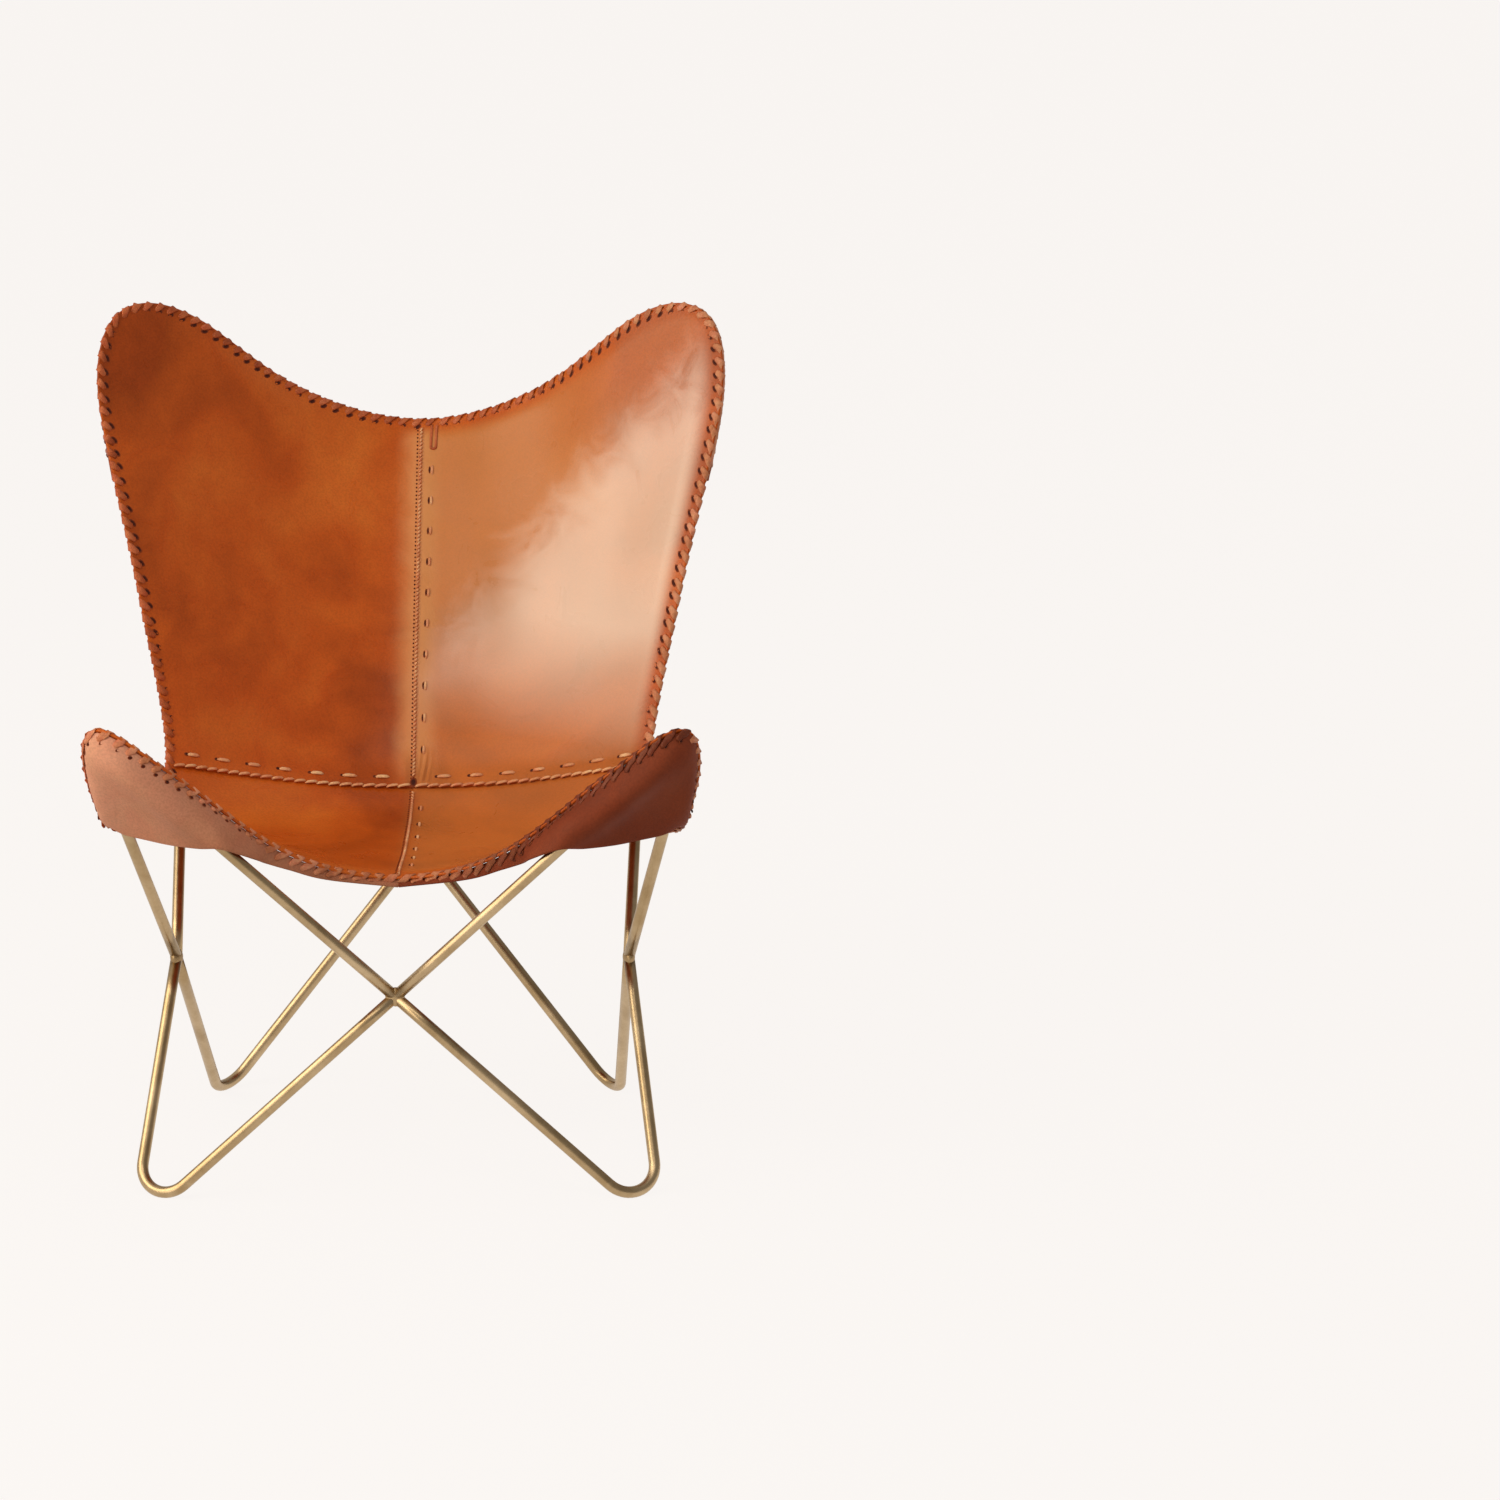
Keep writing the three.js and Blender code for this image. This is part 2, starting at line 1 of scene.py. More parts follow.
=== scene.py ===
import bpy
import numpy as np
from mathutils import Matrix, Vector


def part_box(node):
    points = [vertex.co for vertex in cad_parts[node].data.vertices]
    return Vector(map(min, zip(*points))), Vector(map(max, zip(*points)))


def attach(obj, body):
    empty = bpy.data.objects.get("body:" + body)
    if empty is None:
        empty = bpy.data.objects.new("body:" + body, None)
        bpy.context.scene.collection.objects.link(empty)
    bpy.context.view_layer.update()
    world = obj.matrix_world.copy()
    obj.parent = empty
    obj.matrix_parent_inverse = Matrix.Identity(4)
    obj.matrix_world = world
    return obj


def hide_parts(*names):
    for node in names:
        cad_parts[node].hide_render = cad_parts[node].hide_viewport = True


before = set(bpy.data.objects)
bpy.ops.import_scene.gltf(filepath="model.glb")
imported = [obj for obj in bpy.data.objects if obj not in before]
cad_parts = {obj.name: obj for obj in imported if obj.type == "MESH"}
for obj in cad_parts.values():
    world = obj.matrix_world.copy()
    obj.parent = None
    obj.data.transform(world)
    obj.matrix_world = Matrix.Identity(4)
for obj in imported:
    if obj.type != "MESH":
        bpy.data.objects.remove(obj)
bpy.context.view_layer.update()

mm = 0.001
rng = np.random.default_rng(7)
print("frame loaded:", len(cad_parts), "solids")


# Small helpers

def unit(v):
    return v / np.maximum(np.linalg.norm(v, axis=-1, keepdims=True), 1e-12)


def middleOf(node):                      # middle of a solid's box, in millimetres
    low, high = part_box(node)
    return (np.array(low) + np.array(high)) * 500       # half the sum, from metres


def srgb(r, g, b):                       # screen colour, 0 to 255, as linear light
    c = np.array([r, g, b]) / 255
    c = np.where(c < 0.04045, c / 12.92, ((c + 0.055) / 1.055) ** 2.4)
    return (*c.tolist(), 1.0)


def tints(*colours):                     # several screen colours, dark to light
    return [srgb(*colour) for colour in colours]


def ease(x):                             # smooth step from 0 to 1
    x = np.clip(x, 0, 1)
    return x * x * (3 - 2 * x)


def hump(x, width):                      # soft bell of that half width
    return np.exp(-(x / width) ** 2)


def squareTo(axis, v):                   # unit vector along the part of v that is square to an axis
    return unit(v - axis * (v * axis).sum(-1, keepdims=True))


def lengthsAlong(path):                  # running length at each point of a path
    return np.concatenate([[0], np.cumsum(np.linalg.norm(np.diff(path, axis=0), axis=1))])


def pick(values, length, at):            # values along a run, at given lengths
    return np.stack([np.interp(at, length, column) for column in values.T], -1)


# Materials

white = (1, 1, 1, 1)


def startMaterial(name, **sockets):      # also gives the place on the piece, in metres
    material = bpy.data.materials.new(name)
    material.use_nodes = True
    tree = material.node_tree
    shader = tree.nodes["Principled BSDF"]
    for socket, value in sockets.items():
        shader.inputs[socket.replace("_", " ")].default_value = value
    return material, tree, shader, addNode(tree, "TexCoord").outputs["Object"]


def feed(tree, shader, **sockets):       # links into the shader's sockets
    for socket, value in sockets.items():
        tree.links.new(value, shader.inputs[socket.replace("_", " ")])


def addNode(tree, kind, inputs=None, **settings):
    node = tree.nodes.new("ShaderNode" + kind)
    for key, value in settings.items():
        setattr(node, key, value)
    for key, value in (inputs or {}).items():
        if isinstance(value, bpy.types.NodeSocket):
            tree.links.new(value, node.inputs[key])
        else:
            node.inputs[key].default_value = value
    return node


def noiseOf(tree, place, scale, detail=3.0, rough=0.5, twist=0.0):
    inputs = {"Vector": place, "Scale": scale, "Detail": detail, "Roughness": rough, "Distortion": twist}
    return addNode(tree, "TexNoise", inputs).outputs["Fac"]


def rampOf(tree, value, stops, colours):
    node = addNode(tree, "ValToRGB", {"Fac": value})
    marks = node.color_ramp.elements     # a new ramp has two
    for i, (at, colour) in enumerate(zip(stops, colours)):
        mark = marks[i] if i < 2 else marks.new(at)
        mark.position = at
        mark.color = colour
    return node.outputs["Color"]


def rangeOf(tree, value, fromLow, fromHigh, toLow=0, toHigh=1, way="LINEAR"):
    inputs = {"Value": value, "From Min": fromLow, "From Max": fromHigh, "To Min": toLow, "To Max": toHigh}
    return addNode(tree, "MapRange", inputs, interpolation_type=way).outputs["Result"]


def blendOf(tree, share, one, two, way="MIX"):
    inputs = {0: share, 6: one, 7: two}  # 6 and 7 are the node's colour sockets, 2 its colour output
    return addNode(tree, "Mix", inputs, data_type="RGBA", blend_type=way).outputs[2]


def mathOf(tree, way, *values):
    return addNode(tree, "Math", dict(enumerate(values)), operation=way).outputs[0]


def timesOf(tree, one, two):
    return mathOf(tree, "MULTIPLY", one, two)


def wanderOf(tree, value, noise, most):  # value pushed up by noise, so that an edge on it wavers
    return mathOf(tree, "MULTIPLY_ADD", noise, most, value)


def dotOf(tree, one, two):
    return addNode(tree, "VectorMath", {0: one, 1: two}, operation="DOT_PRODUCT").outputs["Value"]


def bumpOf(tree, height, depth, under=None):   # depth in metres
    inputs = {"Height": height, "Distance": depth, "Strength": 1.0}
    if under is not None:
        inputs["Normal"] = under
    return addNode(tree, "Bump", inputs).outputs["Normal"]


# Sitter's side: a painted sheen as a paler band beside the long seam, painted light as a paler right half,
# and on that a coat shine under a slanting line, over dye paled there as a painted highlight; the rolled rim
# keeps its dye
def paintedLightAndShine(tree, shader, shineAndPaintedLight, place, clouds, tint):
    axes = addNode(tree, "SeparateXYZ", {0: place}).outputs
    normal = addNode(tree, "NewGeometry").outputs["True Normal"]
    facing = rangeOf(tree, dotOf(tree, normal, shineAndPaintedLight["sitter"]), *shineAndPaintedLight["facing"])
    inside = addNode(tree, "Attribute", attribute_name="inside").outputs["Fac"]
    inside = timesOf(tree, inside, facing)
    away = wanderOf(tree, mathOf(tree, "ABSOLUTE", axes["X"]), clouds, shineAndPaintedLight["bandWander"])
    band = timesOf(tree, rangeOf(tree, away, *shineAndPaintedLight["band"], shineAndPaintedLight["bandMost"], 0, "SMOOTHSTEP"),
                   rangeOf(tree, axes["Z"], *shineAndPaintedLight["bandHeight"]))
    tint = blendOf(tree, timesOf(tree, band, inside), tint, shineAndPaintedLight["paintedSheenTint"])
    inside = timesOf(tree, inside, rangeOf(tree, axes["X"], *shineAndPaintedLight["side"]))
    onBack = rangeOf(tree, axes["Z"], *shineAndPaintedLight["height"])
    farEar = timesOf(tree, rangeOf(tree, axes["X"], *shineAndPaintedLight["earSide"]),
                     rangeOf(tree, axes["Z"], *shineAndPaintedLight["earHeight"]))
    paintedLitSide = timesOf(tree, rangeOf(tree, onBack, 0, 1, *shineAndPaintedLight["paintedLitShare"]),
                   rangeOf(tree, farEar, 0, 1, 1, shineAndPaintedLight["earShare"]))
    tint = blendOf(tree, timesOf(tree, paintedLitSide, inside), tint, shineAndPaintedLight["paintedLitSide"])
    over = wanderOf(tree, dotOf(tree, place, shineAndPaintedLight["way"]), clouds, shineAndPaintedLight["wander"])
    shine = rangeOf(tree, over, *shineAndPaintedLight["edge"], shineAndPaintedLight["least"], 1, "SMOOTHSTEP")
    shine = timesOf(tree, shine, timesOf(tree, inside, onBack))
    feed(tree, shader, Coat_Weight=shine)
    paintedHighlightMask = rangeOf(tree, shine, 0, 1, 0, shineAndPaintedLight["paintedHighlightShare"])
    return blendOf(tree, paintedHighlightMask, tint, shineAndPaintedLight["paintedHighlightTint"])


leatherBase = {                          # shared by all the leathers; noises: detail, roughness, distortion
    "patchNoise": (3, 0.55, 0.6), "dyeStops": (0.3, 0.5, 0.72),
    "cloudNoise": (5, 0.6, 0.9), "cloudStops": (0.32, 0.7), "roughOver": (0.3, 0.7),
    "poreScale": 420, "poreDetail": 2, "poreStops": (0.35, 0.6), "poreShade": (0.86, 0.86, 0.86, 1),
    "waveDetail": 2,
}


def leatherFinish(name, look):           # cloudy dye, fine grain and soft hand waxing, with painted light and shade where the look gives them
    look = {**leatherBase, **look}
    material, tree, shader, place = startMaterial(name, **look["sockets"])
    patches = noiseOf(tree, place, look["patchScale"], *look["patchNoise"])
    clouds = noiseOf(tree, place, look["cloudScale"], *look["cloudNoise"])
    pores = noiseOf(tree, place, look["poreScale"], look["poreDetail"])
    grain = addNode(tree, "TexVoronoi", {"Vector": place, "Scale": look["grainScale"]}, feature="SMOOTH_F1")
    baseColours = rampOf(tree, patches, look["dyeStops"], look["baseColours"])
    cloudTint = rampOf(tree, clouds, look["cloudStops"], look["clouds"])
    tint = blendOf(tree, look["cloudShare"], baseColours, cloudTint, "OVERLAY")
    poreTint = rampOf(tree, pores, look["poreStops"], (look["poreShade"], white))
    tint = blendOf(tree, 1.0, tint, poreTint, "MULTIPLY")
    if "fade" in look:                   # darker from one place across the chair to another, used for painted light and shade
        start, end, shade = look["fade"]
        acrossX = addNode(tree, "SeparateXYZ", {0: place}).outputs["X"]
        tint = blendOf(tree, rangeOf(tree, acrossX, start, end), tint, shade, "MULTIPLY")
    if "shineAndPaintedLight" in look:
        tint = paintedLightAndShine(tree, shader, look["shineAndPaintedLight"], place, clouds, tint)
    rough = rangeOf(tree, clouds, *look["roughOver"], *look["roughness"])
    waves = bumpOf(tree, noiseOf(tree, place, look["waveScale"], look["waveDetail"]), look["waveDepth"])
    skin = bumpOf(tree, grain.outputs["Distance"], look["grainDepth"], waves)
    feed(tree, shader, Base_Color=tint, Roughness=rough, Normal=skin)
    return material


slingLook = {
    "sockets": {"Specular_IOR_Level": 0.22, "Specular_Tint": (1, 0.93, 0.8, 1),
                "Coat_Roughness": 0.26, "Coat_IOR": 1.85, "Coat_Tint": (1, 0.97, 0.9, 1)},
    "shineAndPaintedLight": {                            # places and heights in metres, z up
        "sitter": (0, -0.8, 0.6), "facing": (0.2, 0.5),
        # painted sheen: paler beside the seam
        "band": (0.01, 0.044), "bandWander": 0.024, "bandHeight": (0.36, 0.4), "bandMost": 0.8,
        "paintedSheenTint": srgb(238, 160, 98),
        # painted light: paler right half, less so at the ear
        "side": (-0.012, 0.01), "height": (0.42, 0.55), "paintedLitShare": (0.3, 0.5), "paintedLitSide": srgb(208, 142, 74),
        "earSide": (0.1, 0.24), "earHeight": (0.68, 0.82), "earShare": 0.25,
        # coat shine past a line square to this way, on dye paled there as a painted highlight
        "way": (0.758, 0, -0.652), "edge": (-0.3, -0.22), "wander": 0.09, "least": 0.05,
        "paintedHighlightShare": 0.35, "paintedHighlightTint": srgb(205, 166, 132),
    },
    "patchScale": 4.6, "cloudScale": 19, "grainScale": 620, "waveScale": 14,
    "waveDepth": 0.0003, "grainDepth": 0.00008, "cloudShare": 0.4, "roughness": (0.26, 0.32),
    "baseColours": tints((182, 75, 16), (211, 100, 26), (224, 123, 42)),
    "clouds": tints((98, 96, 92), (158, 156, 150)),
}
pocketLook = {
    "sockets": {"Specular_IOR_Level": 0.25, "Specular_Tint": (1, 0.88, 0.72, 1)},
    "patchScale": 7, "cloudScale": 26, "grainScale": 700, "waveScale": 34,
    "waveDepth": 0.0006, "grainDepth": 0.00014, "cloudShare": 0.35, "roughness": (0.65, 0.75),
    "clouds": tints((106, 104, 102), (150, 148, 145)),
}
pocketDyesAndPaintedLight = {                           # painted light: the front left pocket paler as a painted sheen, darker towards the middle, the front right one darker as painted shade; the back ones share one dye
    "front_left": {"baseColours": tints((220, 156, 120), (234, 175, 140), (242, 190, 158)),
                   "fade": (-0.31, -0.2, srgb(206, 190, 176))},
    "front_right": {"baseColours": tints((128, 51, 24), (144, 60, 31), (158, 73, 42))},
    "back": {"baseColours": tints((158, 74, 36), (178, 90, 48), (192, 108, 64))},
}
laceLook = {
    "sockets": {"Specular_IOR_Level": 0.25, "Specular_Tint": (1, 0.9, 0.75, 1)},
    "patchScale": 30, "cloudScale": 90, "grainScale": 900, "waveScale": 180,
    "waveDepth": 0.0004, "grainDepth": 0.0001, "cloudShare": 0.6, "roughness": (0.38, 0.5),
    "clouds": tints((96, 92, 88), (172, 168, 160)),
}
laceDyesAndPaintedLight = {                             # the seams and the front edge have a lace of their own, with painted light and shade
    # painted light: lace paler at the right edge, where light falls, darker from there towards the middle
    "lace": {"baseColours": tints((202, 128, 84), (224, 160, 114), (238, 188, 148)),
             "fade": (0.28, 0.1, srgb(226, 180, 150))},
    # seam lace paler, partly its own colour and partly painted light
    "seam": {"baseColours": tints((224, 162, 108), (240, 192, 142), (250, 216, 178))},
    # painted shade: front lace darker towards the right
    "front_lace": {"baseColours": tints((200, 124, 80), (222, 152, 108), (236, 178, 138)),
                   "fade": (0.02, 0.14, srgb(150, 112, 96))},
}
slingLeather = leatherFinish("sling_leather", slingLook)
pocketLeather = {word: leatherFinish(f"{word}_pocket_leather", {**pocketLook, **baseColours})
                 for word, baseColours in pocketDyesAndPaintedLight.items()}
laceLeather, seamLeather, frontLeather = (
    leatherFinish(f"{word}_leather", {**laceLook, **baseColours}) for word, baseColours in laceDyesAndPaintedLight.items())

holeLook = {
    "sockets": {"Roughness": 0.7, "Specular_IOR_Level": 0.2}, "stops": (0.3, 0.7),
    "lipScale": 160, "lip": tints((120, 48, 18), (152, 70, 30)),
    "darkScale": 240, "dark": tints((56, 16, 6), (84, 30, 12)),
}


def holeFinish(name, look):              # punched holes: leather lip, and a dark inside painted as the shade in the hole
    material, tree, shader, place = startMaterial(name, **look["sockets"])
    # depth: share of the painted shade, from the lip to the hole's middle
    depth = addNode(tree, "Attribute", attribute_name="depth").outputs["Fac"]
    lip, dark = (rampOf(tree, noiseOf(tree, place, look[f"{part}Scale"]), look["stops"], look[part])
                 for part in ("lip", "dark"))
    feed(tree, shader, Base_Color=blendOf(tree, depth, lip, dark))
    return material


brassBase = {                            # shared by rods and welds
    "stretch": (6, 90, 1), "lineScale": 4, "lineDepth": 0.000006,
    "patchScale": 14, "patchNoise": (4, 0.6, 0.5), "patchStops": (0.32, 0.68), "roughOver": (0.3, 0.7),
    "fleckScale": 230, "fleckStops": (0.3, 0.62), "fleckShade": (0.93, 0.92, 0.9, 1),
}
rodLook = {"tints": tints((168, 140, 100), (202, 176, 138)), "roughness": (0.3, 0.38)}
weldLook = {"tints": tints((154, 126, 88), (186, 158, 118)), "roughness": (0.4, 0.5)}


def brassFinish(name, look):             # drawn rod: faint lines along it, aged patches
    look = {**brassBase, **look}
    material, tree, shader, place = startMaterial(name, Metallic=1.0)
    along = addNode(tree, "UVMap").outputs["UV"]
    stretched = addNode(tree, "Mapping", {"Vector": along, "Scale": look["stretch"]}).outputs["Vector"]
    lines = noiseOf(tree, stretched, look["lineScale"])
    patches = noiseOf(tree, place, look["patchScale"], *look["patchNoise"])
    flecks = noiseOf(tree, place, look["fleckScale"])
    tint = rampOf(tree, patches, look["patchStops"], look["tints"])
    fleckTint = rampOf(tree, flecks, look["fleckStops"], (look["fleckShade"], white))
    tint = blendOf(tree, 1.0, tint, fleckTint, "MULTIPLY")
    rough = rangeOf(tree, patches, *look["roughOver"], *look["roughness"])
    feed(tree, shader, Base_Color=tint, Roughness=rough, Normal=bumpOf(tree, lines, look["lineDepth"]))
    return material


rodBrass = brassFinish("rod_brass", rodLook)
weldBrass = brassFinish("weld_brass", weldLook)
punchedHole = holeFinish("punched_hole", holeLook)
print("materials made")


# Meshes from whole arrays

def makePiece(name, points, quads, material, caps=None, uv=None, marks=None, nodes=()):
    mesh = bpy.data.meshes.new(name)
    faces = quads.tolist() + ([] if caps is None else caps.tolist())
    mesh.from_pydata((points * mm).tolist(), [], faces)
    mesh.polygons.foreach_set("use_smooth", np.ones(len(mesh.polygons), bool))
    if uv is not None:
        corners = np.zeros(len(mesh.loops), np.int32)
        mesh.loops.foreach_get("vertex_index", corners)
        mesh.uv_layers.new(name="along").data.foreach_set("uv", uv[corners].astype(np.float32).ravel())
    for mark, values in (marks or {}).items():       # values at the points, which the materials read
        mesh.attributes.new(mark, "FLOAT", "POINT").data.foreach_set("value", values.astype(np.float32))
    mesh.materials.append(material)
    mesh.update()
    piece = bpy.data.objects.new(name, mesh)
    bpy.context.scene.collection.objects.link(piece)
    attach(piece, "root")
    if nodes:
        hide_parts(*nodes)
    return piece


def ringQuads(index):                    # quads between neighbouring rings; each ring is a closed last axis
    after = np.roll(index, -1, axis=-1)
    near, far = slice(None, -1), slice(1, None)
    corners = [index[..., near, :], after[..., near, :], after[..., far, :], index[..., far, :]]
    return np.stack(corners, -1).reshape(-1, 4)


# Ovals carried along paths, many paths at once: at each station the centre, plus half the width x cos
# sideways and half the height x sin along up, up being squared to the path.
# path is (runs, stations, 3), up broadcasts to it, width and height to (runs, stations).
def sweep(path, up, width, height, corners):
    runs, stations = path.shape[:2]
    tangent = unit(np.gradient(path, axis=1))
    up = squareTo(tangent, up)
    side = np.cross(up, tangent)
    turn = np.arange(corners) * 2 * np.pi / corners
    wide = np.broadcast_to(width, (runs, stations))[..., None, None] / 2
    high = np.broadcast_to(height, (runs, stations))[..., None, None] / 2
    points = path[:, :, None] + side[:, :, None] * wide * np.cos(turn)[:, None]
    points = points + up[:, :, None] * high * np.sin(turn)[:, None]
    index = np.arange(runs * stations * corners).reshape(runs, stations, corners)
    caps = np.concatenate([index[:, 0, ::-1], index[:, -1]])
    step = np.linalg.norm(np.diff(path, axis=1), axis=2)
    length = np.concatenate([np.zeros((runs, 1)), np.cumsum(step, axis=1)], axis=1) * mm
    around = np.broadcast_to(turn / (2 * np.pi), (runs, stations, corners))
    uv = np.stack([np.broadcast_to(length[..., None], around.shape), around], -1)
    return points.reshape(-1, 3), ringQuads(index), caps, uv.reshape(-1, 2)


# Sheet round a grid of middle points: each point half the thickness either way, its rim a half circle.
# source gives the grid point that each point of the sheet came from.
def thickSheet(middle, out, half, rimSteps=5):
    rows, cols = middle.shape[:2]
    inner = middle - out * half
    outer = middle + out * half
    index = np.arange(rows * cols).reshape(rows, cols)
    a, b, c, d = index[:-1, :-1], index[1:, :-1], index[1:, 1:], index[:-1, 1:]
    facing = np.cross(middle[1:, :-1] - middle[:-1, :-1], middle[:-1, 1:] - middle[:-1, :-1])
    way = np.sign((facing * out[:-1, :-1]).sum())
    outerQuads = np.stack([a, b, c, d], -1).reshape(-1, 4) + rows * cols
    innerQuads = np.stack([a, d, c, b], -1).reshape(-1, 4)
    loop = np.concatenate([index[:-1, 0], index[-1, :-1], index[:0:-1, -1], index[0, :0:-1]])
    edge = middle.reshape(-1, 3)[loop]
    edgeOut = out.reshape(-1, 3)[loop]
    run = unit(np.roll(edge, -1, axis=0) - np.roll(edge, 1, axis=0))
    beyond = unit(np.cross(run, edgeOut)) * way
    turns = (np.pi * np.arange(1, rimSteps) / rimSteps)[:, None, None]
    rim = edge + beyond * half * np.sin(turns) - edgeOut * half * np.cos(turns)
    first = 2 * rows * cols
    middleRings = first + np.arange((rimSteps - 1) * len(loop)).reshape(rimSteps - 1, -1)
    rings = np.concatenate([loop[None], middleRings, loop[None] + rows * cols])
    quads = np.concatenate([outerQuads, innerQuads, ringQuads(rings)])
    if way < 0:
        quads = quads[:, ::-1]
    points = np.concatenate([inner.reshape(-1, 3), outer.reshape(-1, 3), rim.reshape(-1, 3)])
    source = np.concatenate([index.ravel(), index.ravel(), np.tile(loop, rimSteps - 1)])
    return points, quads, source


# Frame: rods of round bar, bent on arcs between the welds; sizes from here to the studio are millimetres

frontCross = middleOf("front_cross_weld")
backCross = middleOf("back_cross_weld")
sideJoint = middleOf("right_side_weld")
rod = {
    "diameter": 12.7, "footBend": 33, "tipBend": 25, "backBend": 120,
    "flat": 0.5,                         # worn off under the feet
    "frontFoot": (288, 0), "backFoot": (231, 425), "frontCrossBack": 24,
    "armTip": (320, -17, 526), "earTip": (352, 520, 969), "backBendAt": (258, 358, 425),
    "bendSteps": 20, "straightSteps": 6, "sides": 28, "footTries": 8,
}
rodRadius = rod["diameter"] / 2
shift = np.array([0, frontCross[1] - rod["frontCrossBack"], 0])   # from the front feet line
armTip = np.array(rod["armTip"]) + shift
earTip = np.array(rod["earTip"]) + shift
backBendAt = np.array(rod["backBendAt"]) + shift


# Straight runs between corner points, each inner corner replaced by an arc of its radius
def bentPath(corners, radii):
    corners = np.array(corners)
    turns = np.linspace(0, 1, rod["bendSteps"] + 1)[:, None]
    straights = np.linspace(0, 1, rod["straightSteps"], endpoint=False)[:, None]
    runs, last = [], corners[0]
    for before, corner, after, radius in zip(corners[:-2], corners[1:-1], corners[2:], radii):
        into, out = unit(corner - before), unit(after - corner)
        angle = np.arccos(np.clip(into @ out, -1, 1))
        begin = corner - into * radius * np.tan(angle / 2)
        inward = squareTo(into, out)
        arc = begin + into * radius * np.sin(turns * angle) + inward * radius * (1 - np.cos(turns * angle))
        runs += [last + (begin - last) * straights, arc[:-1]]
        last = arc[-1]
    ends = np.linspace(0, 1, rod["straightSteps"])[:, None]
    return np.concatenate([*runs, last + (corners[-1] - last) * ends])


def footCorner(place, cross):            # lowered until the bend's underside meets the floor
    corner = np.array([place[0], place[1], 0.0]) + shift
    for _ in range(rod["footTries"]):
        lowest = bentPath([cross, corner, sideJoint], [rod["footBend"]])[:, 2].min()
        corner[2] -= lowest - rodRadius + rod["flat"]
    return corner


# Rod: a circle carried along its bent path, mirrored for the left side
def makeRod(name, corners, radii, side):
    path = bentPath(corners, radii) * (side, 1, 1)
    normal = unit(np.cross(path[len(path) // 2] - path[0], path[-1] - path[0]))
    size = rod["diameter"]
    points, quads, caps, uv = sweep(path[None], normal, size, size, rod["sides"])
    points[:, 2] = np.maximum(points[:, 2], 0)      # feet worn flat on the floor
    makePiece(name.replace("rod", "bar"), points, quads, rodBrass, caps, uv,
              nodes=[name])


frontFoot = footCorner(rod["frontFoot"], frontCross)
backFoot = footCorner(rod["backFoot"], backCross)
rodPlans = {
    "front_foot_rod": ([frontCross, frontFoot, sideJoint], [rod["footBend"]]),
    "back_foot_rod": ([backCross, backFoot, sideJoint], [rod["footBend"]]),
    "front_tip_rod": ([frontCross, armTip, sideJoint], [rod["tipBend"]]),
    "back_tip_rod": ([backCross, earTip, backBendAt, sideJoint],
                     [rod["tipBend"], rod["backBend"]]),
}
sides = {"left": -1, "right": 1}
for plan, (corners, radii) in rodPlans.items():
    for word, side in sides.items():
        makeRod(f"{plan}_{word}", corners, radii, side)

weld = {"across": 10.6, "thick": 6.7, "lump": 0.035, "steps": (28, 14)}


# Weld: flattened ball in the plane of the rods that meet there, with a slight hand-made lump
def makeWeld(node):
    centre = middleOf(node)
    ends = np.array([c for corners, _ in rodPlans.values() for c in (corners[1], corners[-2])])
    ends = np.concatenate([ends, ends * (-1, 1, 1)])
    near = ends[np.argsort(np.linalg.norm(ends - centre, axis=1))[:4]]      # four rods meet at a weld
    u, v, normal = np.linalg.svd(unit(near - centre))[2]
    around, rings = weld["steps"]
    a = np.arange(around) * 2 * np.pi / around
    b = np.linspace(-np.pi / 2, np.pi / 2, rings + 1)[1:-1, None]
    lump = 1 + weld["lump"] * np.sin(3 * a + 1) * np.cos(2 * b)
    flat = np.cos(b) * weld["across"] * lump
    high = np.broadcast_to(np.sin(b) * weld["thick"], flat.shape)
    ball = u * (flat * np.cos(a))[..., None] + v * (flat * np.sin(a))[..., None] + normal * high[..., None]
    if np.linalg.det([u, v, normal]) < 0:
        ball = ball[:, ::-1]
    poles = np.array([-normal, normal]) * weld["thick"]
    index = np.arange((rings - 1) * around).reshape(rings - 1, around)
    after = np.roll(index, -1, axis=1)
    south, north = index.size, index.size + 1
    fans = np.concatenate([
        np.stack([np.full(around, south), after[0], index[0]], -1),
        np.stack([np.full(around, north), index[-1], after[-1]], -1)])
    points = np.concatenate([ball.reshape(-1, 3), poles]) + centre
    makePiece(node.replace("weld", "bead"), points, ringQuads(index), weldBrass, fans, points[:, :2] * mm,
              nodes=[node])


for node in ("front_cross_weld", "back_cross_weld", "left_side_weld", "right_side_weld"):
    makeWeld(node)
print("rods and welds made")


# Sling: a smooth sheet through a net of points, y counted back from the front feet line

